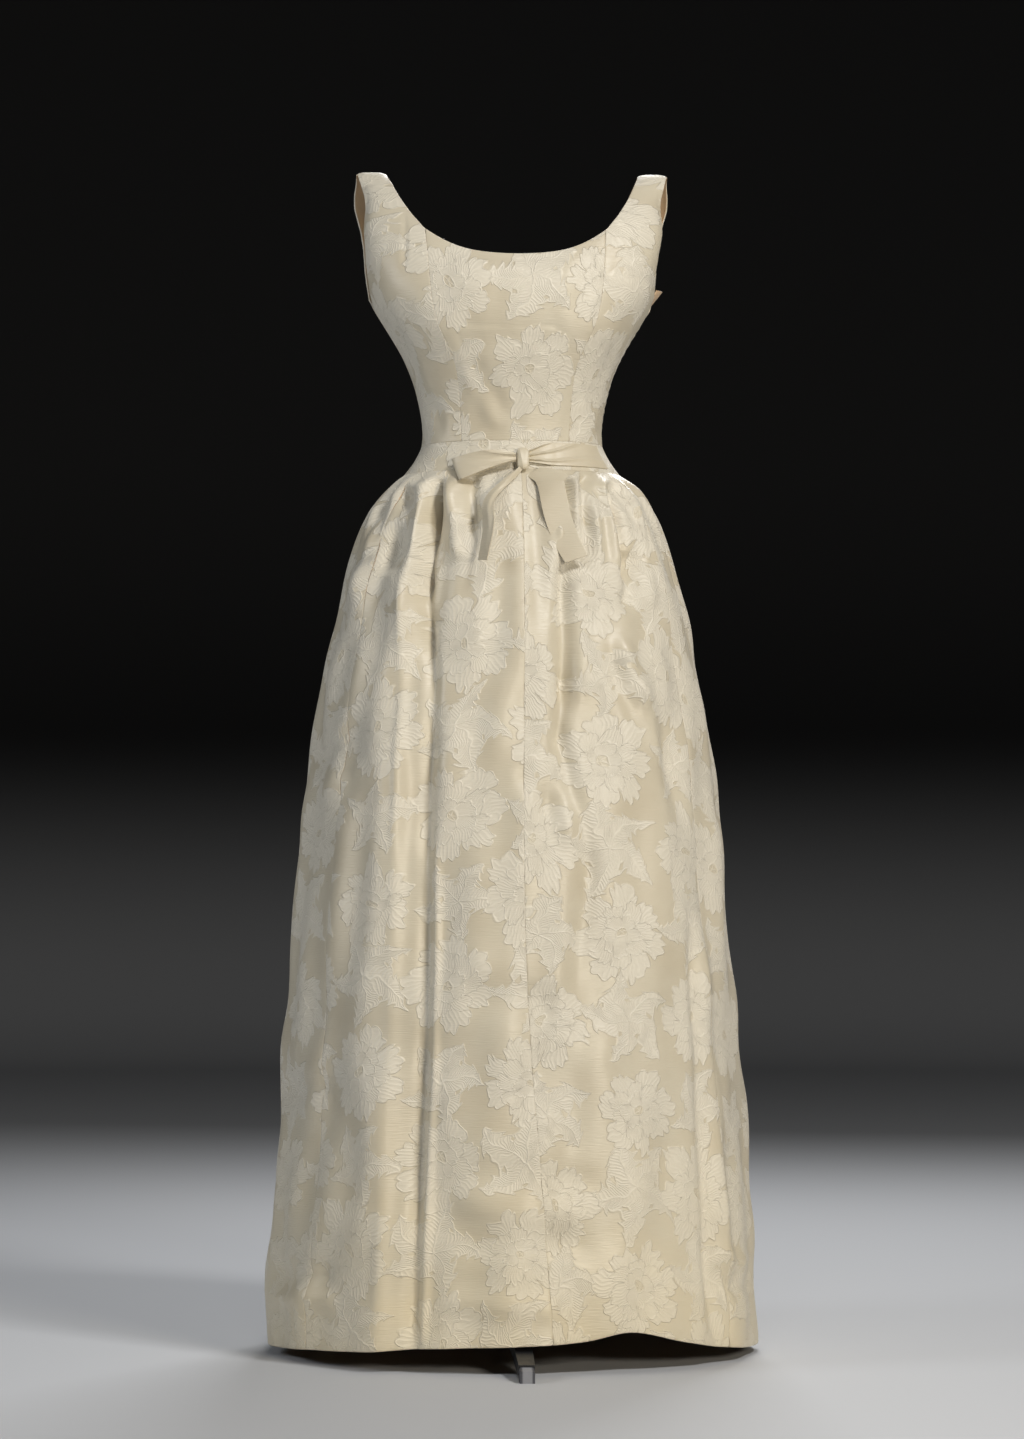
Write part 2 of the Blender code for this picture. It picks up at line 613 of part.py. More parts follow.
def build_pole_and_hub():
    for name, radius, sides, bottom, top in (
            ("pole", POLE_RADIUS, 24, HUB_TOP + SEAM_GAP, FORM_BOTTOM - SEAM_GAP),
            ("hub", HUB_FLAT / cos(pi / 6), 6, HUB_BOTTOM, HUB_TOP)):
        shape = bmesh.new()
        bmesh.ops.create_cone(shape, cap_ends=True, segments=sides, radius1=radius,
                              radius2=radius, depth=top - bottom)
        bmesh.ops.rotate(shape, verts=shape.verts, matrix=Matrix.Rotation(pi / sides, 3, "Z"))
        bmesh.ops.translate(shape, verts=shape.verts, vec=(0, 0, (top + bottom) / 2))
        finish_object(name, shape, BLACK_PAINT, 0.35, 0.6)


def bar(name, turn, sections, bevel, colour, roughness, metallic):
    """A straight tapered bar along a turn; sections are (reach, half width, bottom, top)."""
    shape = bmesh.new()
    bmesh.ops.create_cube(shape, size=1)
    for vert in shape.verts:
        reach, half_width, bottom, top = sections[1 if vert.co.y < 0 else 0]
        across = half_width * (1 if vert.co.x > 0 else -1)
        height = top if vert.co.z > 0 else bottom
        vert.co = Vector((across * cos(turn) + reach * sin(turn),
                          across * sin(turn) - reach * cos(turn), height))
    upper = [edge for edge in shape.edges
             if min(vert.co.z for vert in edge.verts) > (sections[0][2] + sections[1][2]) / 2
             and hypot(*(edge.verts[0].co - edge.verts[1].co).xy) > 0.012
             and abs(edge.calc_length() - 2 * sections[0][1]) > 1e-4
             and abs(edge.calc_length() - 2 * sections[1][1]) > 1e-4]
    bmesh.ops.bevel(shape, geom=upper, offset=bevel, offset_type="OFFSET", segments=1,
                    profile=0.5, affect="EDGES", material=-1)
    bmesh.ops.recalc_face_normals(shape, faces=shape.faces)
    finish_object(name, shape, colour, roughness, metallic)


def build_legs():
    leg_end = LEG_TIP - FOOT_LENGTH - SEAM_GAP
    for name, turn in LEG_TURNS.items():
        bar("leg_" + name, turn,
            ((HUB_FLAT + SEAM_GAP, 0.0135, 0.034, 0.0655), (leg_end, 0.0092, 0.0045, 0.0190)),
            0.0022, BLACK_PAINT, 0.35, 0.6)
        bar("foot_" + name, turn,
            ((leg_end + SEAM_GAP, 0.0088, 0.0, FOOT_HEIGHT), (LEG_TIP, 0.0084, 0.0, 0.0135)),
            0.0015, GREY_RUBBER, 0.6, 0.0)


build_bodice()
build_waistband()
build_skirt()
build_placket()
build_sash()
build_loop()
build_tails()
build_knot()
build_form()
build_pole_and_hub()
build_legs()
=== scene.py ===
# %% [markdown]
# # A silk evening dress on its form
# A sleeveless dress of about 1960: cream silk damask with large woven flowers, a princess-seamed
# bodice, a shaped waistband, a gathered bell skirt and a plain silk sash tied in a small bow. A
# smooth torso on a black tripod fills it out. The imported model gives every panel's true size and
# place, so each piece of cloth here starts from its own panel and is then made finer.

# %% Load the frame
from math import cos, pi, radians, sin

import bmesh
import bpy
import numpy as np
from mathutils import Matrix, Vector, kdtree
from mathutils.bvhtree import BVHTree


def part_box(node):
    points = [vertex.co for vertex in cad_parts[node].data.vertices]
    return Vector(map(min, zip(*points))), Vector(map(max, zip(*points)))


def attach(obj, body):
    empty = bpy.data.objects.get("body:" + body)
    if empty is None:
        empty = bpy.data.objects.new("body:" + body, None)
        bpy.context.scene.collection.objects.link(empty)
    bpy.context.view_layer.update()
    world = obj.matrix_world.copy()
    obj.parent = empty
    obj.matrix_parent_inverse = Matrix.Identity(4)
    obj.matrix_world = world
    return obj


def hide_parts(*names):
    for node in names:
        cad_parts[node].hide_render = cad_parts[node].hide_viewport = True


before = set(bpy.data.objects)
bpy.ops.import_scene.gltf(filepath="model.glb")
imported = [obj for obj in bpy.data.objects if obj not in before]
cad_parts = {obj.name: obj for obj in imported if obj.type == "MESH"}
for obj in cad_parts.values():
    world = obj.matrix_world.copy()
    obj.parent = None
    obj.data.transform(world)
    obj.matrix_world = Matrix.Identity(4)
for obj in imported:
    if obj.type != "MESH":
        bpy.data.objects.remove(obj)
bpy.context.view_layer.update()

MM = 0.001

# %% [markdown]
# ## Camera
# The photograph was taken square on, from a little to the dress's right, with a long lens: the
# verticals don't converge, so the camera stands level and the frame is lifted by lens shift
# instead of tilting. One photo pixel is 1.2 mm on the plane through the middle of the dress.

# %% Camera
PHOTO_HEIGHT = 1439
PIXEL = 1.2 * MM
DISTANCE, EYE_HEIGHT, AZIMUTH = 5.0, 0.562, radians(-3)
FRAME_CENTRE = 0.757            # height of the photo's middle row on the dress
SENSOR = 36.0

camera_data = bpy.data.cameras.new("camera")
camera = bpy.data.objects.new("camera", camera_data)
bpy.context.scene.collection.objects.link(camera)
camera.location = (sin(AZIMUTH) * DISTANCE, -cos(AZIMUTH) * DISTANCE, EYE_HEIGHT)
camera.rotation_euler = (pi / 2, 0, AZIMUTH)
camera_data.sensor_width = SENSOR
camera_data.lens = SENSOR * DISTANCE / (PHOTO_HEIGHT * PIXEL)
camera_data.shift_y = (FRAME_CENTRE - EYE_HEIGHT) / (PHOTO_HEIGHT * PIXEL)
bpy.context.scene.camera = camera
print("lens", round(camera_data.lens, 1), "mm, shift", round(camera_data.shift_y, 3))

# %% [markdown]
# ## Colour and node helpers
# Colours are picked as sRGB hex values, as a painter's chart gives them, and turned to the linear
# values that the renderer mixes. One function adds any node with its settings and its links.

# %% Colour and node helpers
MATH, VECTOR_MATH = "ShaderNodeMath", "ShaderNodeVectorMath"


def linear(hex_colour):
    """An sRGB hex colour as linear red, green, blue and alpha."""
    channels = [int(hex_colour[place:place + 2], 16) / 255 for place in (1, 3, 5)]
    return tuple(c / 12.92 if c <= 0.04045 else ((c + 0.055) / 1.055) ** 2.4
                 for c in channels) + (1.0,)


def add(tree, kind, inputs=(), **settings):
    """Add a node and return its first output. Each input is a value, or an output to link."""
    node = tree.nodes.new(kind)
    for key, value in settings.items():
        setattr(node, key, value)
    for socket, value in inputs.items() if isinstance(inputs, dict) else enumerate(inputs):
        if isinstance(value, bpy.types.NodeSocket):
            tree.links.new(value, node.inputs[socket])
        else:
            node.inputs[socket].default_value = value
    return node.outputs[0]


def new_material(name):
    """A material with only its Principled shader and its output."""
    made = bpy.data.materials.new(name)
    made.use_nodes = True
    return made, made.node_tree, made.node_tree.nodes["Principled BSDF"]


print("cream is", [round(value, 3) for value in linear("#DCD2BE")])

# %% [markdown]
# ## Floor
# The object stands on a plain pale floor that curves up all round it, far out, like a studio's
# cove. The cove is one profile spun round, so every view has the same plain backdrop. Its paper
# is graduated, as photographers buy it: pale on the floor, and near black above, which lets the
# cream silk stand out.

# %% Floor
COVE_FLAT, COVE_CURVE, COVE_TOP = 7.5, 2.0, 8.0       # m
COVE_MIDDLE, COVE_STEPS, COVE_TURNS = 0.3, 8, 96
PAPER_PALE, PAPER_DARK = "#C3C5C9", "#0E0E0F"
PAPER_DARK_FROM = 1.1       # m above the floor


def graduated_paper():
    """Matt coated paper, sprayed darker towards its top: no gloss, and no edge in the shading."""
    paper, tree, shader = new_material("matt_graduated_paper")
    place = add(tree, "ShaderNodeTexCoord").node.outputs["Object"]
    height = add(tree, "ShaderNodeSeparateXYZ", (place,)).node.outputs[2]
    rise = add(tree, "ShaderNodeMapRange", (height, 0.0, PAPER_DARK_FROM, 0.0, 1.0),
               interpolation_type="SMOOTHSTEP")
    colour = add(tree, "ShaderNodeMix",
                 {0: rise, 6: linear(PAPER_PALE), 7: linear(PAPER_DARK)},
                 data_type="RGBA").node.outputs[2]
    tree.links.new(colour, shader.inputs["Base Color"])
    shader.inputs["Roughness"].default_value = 0.7
    return paper


def stage_floor():
    """A round sheet of paper that curves up into a wall, spun from one profile."""
    shape = bmesh.new()
    profile = [shape.verts.new((COVE_MIDDLE, 0, 0)), shape.verts.new((COVE_FLAT, 0, 0))]
    for step in range(1, COVE_STEPS + 1):
        angle = radians(90) * step / COVE_STEPS
        profile.append(shape.verts.new((COVE_FLAT + COVE_CURVE * sin(angle), 0,
                                        COVE_CURVE - COVE_CURVE * cos(angle))))
    profile.append(shape.verts.new((COVE_FLAT + COVE_CURVE, 0, COVE_TOP)))
    edges = [shape.edges.new(pair) for pair in zip(profile, profile[1:])]
    bmesh.ops.spin(shape, geom=profile + edges, cent=(0, 0, 0), axis=(0, 0, 1), angle=2 * pi,
                   steps=COVE_TURNS, use_merge=True)
    rim = [edge for edge in shape.edges if edge.is_boundary and edge.verts[0].co.length < 1]
    bmesh.ops.contextual_create(shape, geom=rim)
    bmesh.ops.recalc_face_normals(shape, faces=shape.faces)
    mesh = bpy.data.meshes.new("studio_floor")
    shape.to_mesh(mesh)
    shape.free()
    mesh.shade_smooth()
    mesh.materials.append(graduated_paper())
    floor = bpy.data.objects.new("studio_floor", mesh)
    bpy.context.scene.collection.objects.link(floor)
    return floor


print("floor faces:", len(stage_floor().data.polygons))

# %% [markdown]
# ## Light
# Silk shows its folds and its weave only where light grazes it. So the strongest light stands
# high up on the right, and a wide one far out on the left only opens the shade. A weak one above
# the camera and a low warm one from the front keep the bodice and the hem readable, and one from
# above and behind parts the cream silk from the dark paper.

# %% Light
# name, place, target, size in m, watts, colour
LIGHTS = (
    ("key_light", (1.75, -2.35, 3.5), (0, 0, 0.80), 0.6, 76, "#FFFDFA"),
    ("side_light", (-2.7, -0.8, 1.7), (0, 0, 0.6), 1.0, 22, "#F6F9FC"),
    ("front_light", (-0.2, -2.7, 3.4), (0, 0, 0.9), 0.9, 14, "#FFFDFA"),
    ("low_light", (1.6, -3.6, 1.2), (0, 0, 0.10), 0.6, 58, "#FFF3DE"),
    ("rim_light", (0.6, 2.4, 2.7), (0, 0, 0.9), 1.2, 58, "#FFFFFF"),
)
ROOM_COLOUR, ROOM_GLOW = "#C9CDD2", 0.05        # the little that a dark studio gives back

for name, place, target, size, watts, colour in LIGHTS:
    data = bpy.data.lights.new(name, "AREA")
    data.shape, data.size, data.energy = "SQUARE", size, watts
    data.color = linear(colour)[:3]
    light = bpy.data.objects.new(name, data)
    bpy.context.scene.collection.objects.link(light)
    light.location = place
    light.rotation_euler = (Vector(target) - Vector(place)).to_track_quat("-Z", "Y").to_euler()
world = bpy.data.worlds.new("studio")
world.use_nodes = True
world.node_tree.nodes["Background"].inputs["Color"].default_value = linear(ROOM_COLOUR)
world.node_tree.nodes["Background"].inputs["Strength"].default_value = ROOM_GLOW
bpy.context.scene.world = world
bpy.context.scene.view_settings.view_transform = "Standard"

# %% [markdown]
# ## The woven flowers
# Damask is one cloth with two faces of weave: a satin ground that shines, and motifs where the
# threads float the other way, which look paler and more matt, with raised lines where the two
# weaves meet. A picture of the cloth would be simple, but it couldn't be reused at another size.
# So the motifs are drawn by mathematics, each as a node group that takes a place on the cloth in
# millimetres and gives a mask and its raised lines.

# %% Motif helpers
LINE = 1.7              # mm; the real raised lines are about 1 mm and would not show
VEIN_GAP = 3.8          # mm between veins, drawn coarser than the real 2 to 3 mm
VEIN_FADE = 12.0        # mm from a vein's start to its full strength


def ridge(group, distance, width):
    """1 on a line, falling to 0 at its width on either side."""
    away = add(group, MATH, (distance,), operation="ABSOLUTE")
    return add(group, "ShaderNodeMapRange", (away, 0.0, width, 1.0, 0.0))


def inside(group, distance):
    """1 where a distance is positive, with an edge as soft as two threads."""
    return add(group, "ShaderNodeMapRange", (distance, -0.5, 0.5, 0.0, 1.0))


def motif_group(name):
    """An empty node group with its sockets, and the place it is given."""
    group = bpy.data.node_groups.new(name, "ShaderNodeTree")
    group.interface.new_socket("Place", in_out="INPUT", socket_type="NodeSocketVector")
    group.interface.new_socket("Mask", in_out="OUTPUT", socket_type="NodeSocketFloat")
    group.interface.new_socket("Lines", in_out="OUTPUT", socket_type="NodeSocketFloat")
    return group, group.nodes.new("NodeGroupInput").outputs["Place"]


def finish_group(group, mask, lines):
    """Give a motif's mask and lines out."""
    output = group.nodes.new("NodeGroupOutput")
    group.links.new(mask, output.inputs["Mask"])
    group.links.new(lines, output.inputs["Lines"])
    return group


def polar(group, place):
    """Distance from the origin and turns round it."""
    radius = add(group, VECTOR_MATH, (place,), operation="LENGTH").node.outputs[1]
    parts = add(group, "ShaderNodeSeparateXYZ", (place,)).node
    angle = add(group, MATH, (parts.outputs[1], parts.outputs[0]), operation="ARCTAN2")
    return radius, add(group, MATH, (angle, 1 / (2 * pi)), operation="MULTIPLY")


def veins(group, across, radius, start):
    """Fine lines that fan out, from 0 at their start to full strength further on."""
    wave = add(group, MATH, (across,), operation="SINE")
    wave = add(group, MATH, (wave,), operation="ABSOLUTE")
    wave = add(group, MATH, (1.0, wave), operation="SUBTRACT")
    fade = add(group, "ShaderNodeMapRange", (radius, start, start + VEIN_FADE, 0.0, 0.8))
    return add(group, MATH, (wave, fade), operation="MULTIPLY")


print("raised lines are", LINE, "mm wide")

# %% [markdown]
# A flower is three rings of petals. The angle round its eye is folded into one petal, so that its
# lobed edge, its split from the next petal and its fan of veins are worked out once for all.

# %% Woven flower
FLOWER = 60.0           # mm, radius to the tips of the outer petals
EYE = 6.5               # mm, radius of the bare ground in a flower's middle
LOBES = 4               # round lobes along each petal's edge
PETAL_DIP, LOBE_DIP = 0.30, 0.09    # shares of the petal that its sides and its lobes go in by
PETAL_RINGS = ((1.0, 7, 0.0), (0.70, 7, 0.45), (0.40, 5, 0.2))     # reach, petals, turned


def petal_ring(group, radius, turns, reach, petals, turned):
    """One ring of petals: how far inside its edge each place is, and its lines."""
    size = FLOWER * reach
    petal = add(group, MATH, (turns, petals, turned), operation="MULTIPLY_ADD")
    petal = add(group, MATH, (petal,), operation="FRACT")
    side = add(group, MATH, (petal, 0.5), operation="SUBTRACT")
    side = add(group, MATH, (side,), operation="ABSOLUTE")
    dip = add(group, MATH, (side, 2.0), operation="MULTIPLY")
    dip = add(group, MATH, (dip, 3.0), operation="POWER")
    lobes = add(group, MATH, (petal, LOBES * pi), operation="MULTIPLY")
    lobes = add(group, MATH, (lobes,), operation="SINE")
    lobes = add(group, MATH, (lobes,), operation="ABSOLUTE")
    lobes = add(group, MATH, (1.0, lobes), operation="SUBTRACT")
    edge = add(group, MATH, (dip, -size * PETAL_DIP, size), operation="MULTIPLY_ADD")
    edge = add(group, MATH, (lobes, -size * LOBE_DIP, edge), operation="MULTIPLY_ADD")
    gap = add(group, MATH, (edge, radius), operation="SUBTRACT")
    between = add(group, MATH, (0.5, side), operation="SUBTRACT")
    between = add(group, MATH, (between, radius), operation="MULTIPLY")
    between = add(group, MATH, (between, 2 * pi / petals), operation="MULTIPLY")
    split = ridge(group, between, LINE * 0.8)
    split = add(group, MATH, (split, inside(group, gap)), operation="MULTIPLY")
    split = add(group, MATH, (split, 0.7), operation="MULTIPLY")
    return gap, add(group, MATH, (ridge(group, gap, LINE), split), operation="MAXIMUM")


def flower_group():
    """Rings of petals, each over the last, about a small open eye."""
    group, place = motif_group("woven_flower")
    radius, turns = polar(group, place)
    mask = lines = None
    for reach, petals, turned in PETAL_RINGS:
        gap, own = petal_ring(group, radius, turns, reach, petals, turned)
        if mask is None:
            mask, lines = inside(group, gap), own
        else:
            free = add(group, MATH, (1.0, inside(group, gap)), operation="SUBTRACT")
            lines = add(group, MATH, (lines, free), operation="MULTIPLY")
            lines = add(group, MATH, (lines, own), operation="MAXIMUM")
    around = round(2 * pi * FLOWER * 0.6 / VEIN_GAP)
    fan = add(group, MATH, (turns, around * pi), operation="MULTIPLY")
    fan = veins(group, fan, radius, 6.0)
    fan = add(group, MATH, (fan, mask), operation="MULTIPLY")
    fan = add(group, MATH, (fan, 0.6), operation="MULTIPLY")
    lines = add(group, MATH, (lines, fan), operation="MAXIMUM")
    eye = add(group, MATH, (radius, EYE), operation="SUBTRACT")
    lines = add(group, MATH, (lines, ridge(group, eye, LINE)), operation="MAXIMUM")
    mask = add(group, MATH, (mask, inside(group, eye)), operation="MULTIPLY")
    return finish_group(group, mask, lines)


FLOWER_MOTIF = flower_group()
print("flower nodes:", len(FLOWER_MOTIF.nodes))

# %% [markdown]
# A leaf is a lens with a toothed edge, slanting veins and a midrib. The spray folds the angle in
# the same way as the flower, to get five leaves for the price of one.

# %% Woven spray of leaves
LEAVES, TEETH = 5, 5.0
LEAF_LONG, LEAF_WIDE = 62.0, 17.0       # mm
TWIST = 0.0016          # turns for each mm along a leaf, which bends it to one side


def spray_group():
    """Toothed leaves that grow out of one point, bent a little to one side."""
    group, place = motif_group("woven_spray")
    radius, turns = polar(group, place)
    own = add(group, MATH, (radius, TWIST, turns), operation="MULTIPLY_ADD")
    own = add(group, MATH, (own, LEAVES), operation="MULTIPLY")
    own = add(group, MATH, (own,), operation="FRACT")
    own = add(group, MATH, (own, 0.5), operation="SUBTRACT")
    off_axis = add(group, MATH, (own, 2 * pi / LEAVES), operation="MULTIPLY")
    along = add(group, MATH, (off_axis,), operation="COSINE")
    along = add(group, MATH, (along, radius), operation="MULTIPLY")
    across = add(group, MATH, (off_axis,), operation="SINE")
    across = add(group, MATH, (across, radius), operation="MULTIPLY")
    across = add(group, MATH, (across,), operation="ABSOLUTE")
    share = add(group, MATH, (along, LEAF_LONG), operation="DIVIDE")
    swell = add(group, MATH, (share, 0.8), operation="POWER")
    swell = add(group, MATH, (swell, pi), operation="MULTIPLY")
    swell = add(group, MATH, (swell,), operation="SINE")
    teeth = add(group, MATH, (share, TEETH), operation="MULTIPLY")
    teeth = add(group, MATH, (teeth,), operation="FRACT")
    teeth = add(group, MATH, (teeth, -0.45, 1.15), operation="MULTIPLY_ADD")
    half = add(group, MATH, (swell, teeth), operation="MULTIPLY")
    half = add(group, MATH, (half, LEAF_WIDE), operation="MULTIPLY")
    gap = add(group, MATH, (half, across), operation="SUBTRACT")
    within = add(group, MATH, (share, 1.0), operation="LESS_THAN")
    mask = add(group, MATH, (inside(group, gap), within), operation="MULTIPLY")
    slant = add(group, MATH, (across, -0.8, along), operation="MULTIPLY_ADD")
    slant = add(group, MATH, (slant, pi / VEIN_GAP), operation="MULTIPLY")
    fan = veins(group, slant, radius, 2.0)
    fan = add(group, MATH, (fan, 0.8), operation="MULTIPLY")
    lines = add(group, MATH, (fan, ridge(group, across, LINE)), operation="MAXIMUM")
    lines = add(group, MATH, (lines, mask), operation="MULTIPLY")
    outline = add(group, MATH, (ridge(group, gap, LINE), within), operation="MULTIPLY")
    return finish_group(group, mask,
                        add(group, MATH, (lines, outline), operation="MAXIMUM"))


SPRAY_MOTIF = spray_group()
print("spray nodes:", len(SPRAY_MOTIF.nodes))

# %% [markdown]
# Flowers and sprays stand on two lattices that fill each other's gaps. Each motif is turned,
# moved and scaled by random numbers of its own, and a slow noise bends the whole cloth's pattern,
# as a hand-drawn design is never quite regular.

# %% Damask pattern
CELL = 142.0            # mm, from one flower to the next
JITTER = 16.0           # mm, how far a motif may stray
SMALLEST, LARGEST = 1.20, 0.96      # a motif's place is scaled, so more of it is a smaller motif
BEND, BEND_SCALE = 38.0, 0.022      # mm, and for each mm


def on_lattice(group, place, motif, shift, seed):
    """Repeat a motif on a square lattice stood on its corner, each turned and moved by chance."""
    stood = add(group, "ShaderNodeVectorRotate", {"Vector": place, "Angle": pi / 4},
                rotation_type="Z_AXIS")
    stood = add(group, VECTOR_MATH, (stood, (1 / CELL, 1 / CELL, 0.0), (shift, shift, 0.0)),
                operation="MULTIPLY_ADD")
    cell = add(group, VECTOR_MATH, (stood,), operation="FLOOR")
    address = add(group, VECTOR_MATH, (cell, (0.0, 0.0, seed)), operation="ADD")
    chance = add(group, "ShaderNodeTexWhiteNoise", {"Vector": address}).node.outputs
    local = add(group, VECTOR_MATH, (stood,), operation="FRACTION")
    local = add(group, VECTOR_MATH, (local, (CELL, CELL, 0.0), (-CELL / 2, -CELL / 2, 0.0)),
                operation="MULTIPLY_ADD")
    moved = add(group, VECTOR_MATH,
                (chance["Color"], (JITTER, JITTER, 0.0), (-JITTER / 2, -JITTER / 2, 0.0)),
                operation="MULTIPLY_ADD")
    local = add(group, VECTOR_MATH, (local, moved), operation="ADD")
    angle = add(group, MATH, (chance["Value"], 2 * pi), operation="MULTIPLY")
    local = add(group, "ShaderNodeVectorRotate", {"Vector": local, "Angle": angle},
                rotation_type="Z_AXIS")
    grown = add(group, "ShaderNodeMapRange", (chance["Value"], 0.0, 1.0, SMALLEST, LARGEST))
    local = add(group, VECTOR_MATH, {0: local, "Scale": grown}, operation="SCALE")
    return add(group, "ShaderNodeGroup", {"Place": local}, node_tree=motif).node.outputs


def damask_group():
    """Flowers over sprays of leaves on two lattices that fill each other's gaps."""
    group, place = motif_group("damask_pattern")
    bend = add(group, "ShaderNodeTexNoise", {"Vector": place, "Scale": BEND_SCALE, "Detail": 2.0,
                                             "Roughness": 0.55}).node.outputs["Color"]
    bend = add(group, VECTOR_MATH, (bend, (-0.5, -0.5, -0.5)), operation="ADD")
    place = add(group, VECTOR_MATH, (bend, (BEND, BEND, 0.0), place), operation="MULTIPLY_ADD")
    flower_mask, flower_lines = on_lattice(group, place, FLOWER_MOTIF, 0.0, 1.0)
    spray_mask, spray_lines = on_lattice(group, place, SPRAY_MOTIF, 0.5, 2.0)
    free = add(group, MATH, (1.0, flower_mask), operation="SUBTRACT")
    spray_lines = add(group, MATH, (spray_lines, free), operation="MULTIPLY")
    lines = add(group, MATH, (flower_lines, spray_lines), operation="MAXIMUM")
    mask = add(group, MATH, (flower_mask, spray_mask), operation="MAXIMUM")
    return finish_group(group, mask, lines)


DAMASK = damask_group()
print("damask nodes:", len(DAMASK.nodes))

# %% [markdown]
# ## Silks
# The dress is silk satin damask: the ground is smooth and reflects softly, so it is given a
# middling roughness and a little sheen for the fine fibres. Its colour also darkens in random
# patches, painted shade where the satin turns its sheen away. The motifs are paler and rougher,
# and they and their lines stand up as bump. Old silk yellows in patches, and most of all round
# the hem; there the colour is also painted lighter than the ground, painted light as if thrown up
# from the floor. The sash is the same silk without motifs, and the inside is a thin peach lining
# silk. The weft of real satin is about 0.2 mm apart, too fine to show, so it is drawn at 1.3 mm
# and kept faint. The pattern reads each piece's own UV map, in metres, so that it follows the
# cloth.

# %% Silks
# SHADE is painted shade: the ground darkens towards it in random patches, where satin would turn
# its sheen away from the light.
GROUND, MOTIF, SHADE, LINES = "#D0C8B4", "#D8D2C3", "#BFB39B", "#EDE7D8"
# Near the hem the silk is mixed towards a yellower, lighter cream: real yellowing in patches, and
# painted light thrown up from the floor.
AGED_AND_FLOOR_LIGHT, AGED_AND_FLOOR_LIGHT_FROM, AGED_AND_FLOOR_LIGHT_UP_TO = "#ECDDB8", 0.03, 0.32      # m above the floor
PATCHES = 0.012         # for each mm: patches of colour about 80 mm across
WEFT, SLUB = 1.3, 0.06  # mm between weft threads; slubs are about 17 mm long, so 0.06 for each mm
RELIEF = 0.0012         # m; the raised weave, about twice the real height so that it shows
MOTIF_COVERS, LINES_COVER = 0.85, 0.40


def silk_material(name, ground, roughness, woven):
    """A silk: painted shade in patches, faint weft, motifs if woven, a yellowed hem painted light.
    """
    made, tree, shader = new_material(name)
    place = add(tree, "ShaderNodeUVMap", uv_map="cloth")
    place = add(tree, VECTOR_MATH, (place, (1000.0, 1000.0, 1.0)), operation="MULTIPLY")
    patches = add(tree, "ShaderNodeTexNoise", {"Vector": place, "Scale": PATCHES, "Detail": 3.0})
    # painted shade: the ground darkens in random patches, as satin does where its sheen turns away
    sheen_shade = add(tree, "ShaderNodeMapRange", (patches, 0.35, 0.7, 0.0, 0.55))
    colour = add(tree, "ShaderNodeMix", {0: sheen_shade, 6: linear(ground), 7: linear(SHADE)},
                 data_type="RGBA").node.outputs[2]
    slubs = add(tree, VECTOR_MATH, (place, (SLUB, 1 / WEFT, 1.0)), operation="MULTIPLY")
    slubs = add(tree, "ShaderNodeTexNoise", {"Vector": slubs, "Scale": 1.0, "Detail": 2.0})
    height = add(tree, MATH, (slubs, 0.30), operation="MULTIPLY")
    rough = add(tree, MATH, (slubs, 0.10, roughness - 0.05), operation="MULTIPLY_ADD")
    if woven:
        mask, lines = add(tree, "ShaderNodeGroup", {"Place": place},
                          node_tree=DAMASK).node.outputs
        covered = add(tree, MATH, (mask, MOTIF_COVERS), operation="MULTIPLY")
        colour = add(tree, "ShaderNodeMix", {0: covered, 6: colour, 7: linear(MOTIF)},
                     data_type="RGBA").node.outputs[2]
        raised = add(tree, MATH, (lines, LINES_COVER), operation="MULTIPLY")
        colour = add(tree, "ShaderNodeMix", {0: raised, 6: colour, 7: linear(LINES)},
                     data_type="RGBA").node.outputs[2]
        rough = add(tree, MATH, (mask, 0.10, rough), operation="MULTIPLY_ADD")
        height = add(tree, MATH, (mask, 0.17, height), operation="MULTIPLY_ADD")
        height = add(tree, MATH, (lines, 0.50, height), operation="MULTIPLY_ADD")
    # near the hem: real yellowing in patches, and painted light, lighter than the ground towards
    # the floor
    level = add(tree, "ShaderNodeTexCoord").node.outputs["Object"]
    level = add(tree, "ShaderNodeSeparateXYZ", (level,)).node.outputs[2]
    near_hem = add(tree, "ShaderNodeMapRange", (level, AGED_AND_FLOOR_LIGHT_FROM, AGED_AND_FLOOR_LIGHT_UP_TO, 0.75, 0.0))
    aged_and_floor_light = add(tree, MATH, (near_hem, patches), operation="MULTIPLY")
    colour = add(tree, "ShaderNodeMix", {0: aged_and_floor_light, 6: colour, 7: linear(AGED_AND_FLOOR_LIGHT)},
                 data_type="RGBA").node.outputs[2]
    bump = add(tree, "ShaderNodeBump", {"Height": height, "Distance": RELIEF, "Strength": 1.0})
    tree.links.new(bump, shader.inputs["Normal"])
    tree.links.new(colour, shader.inputs["Base Color"])
    tree.links.new(rough, shader.inputs["Roughness"])
    shader.inputs["IOR"].default_value = 1.54
    shader.inputs["Sheen Weight"].default_value = 0.08
    shader.inputs["Sheen Roughness"].default_value = 0.4
    return made


damask_silk = silk_material("silk_satin_damask", GROUND, 0.38, True)
plain_silk = silk_material("plain_silk_satin", "#CFC6B1", 0.40, False)
lining_silk = silk_material("peach_lining_silk", "#C9A986", 0.5, False)
print("silks:", damask_silk.name, plain_silk.name, lining_silk.name)

# %% [markdown]
# ## From panel to cloth
# Each panel's solid is a closed wall of large flat faces. Its copy is merged, its triangle pairs
# are joined to quads and Catmull-Clark subdivision rounds it, with creases that hold its cut
# edges. That is quicker than drawing each panel anew, and the cloth keeps the panel's true size.
# The finer folds are later pressed into both faces alike, so that neither comes through the other.

# %% Reading a panel
MERGE = 0.00001             # m
RIM_TURN, CORNER_TURN = radians(55), radians(150)


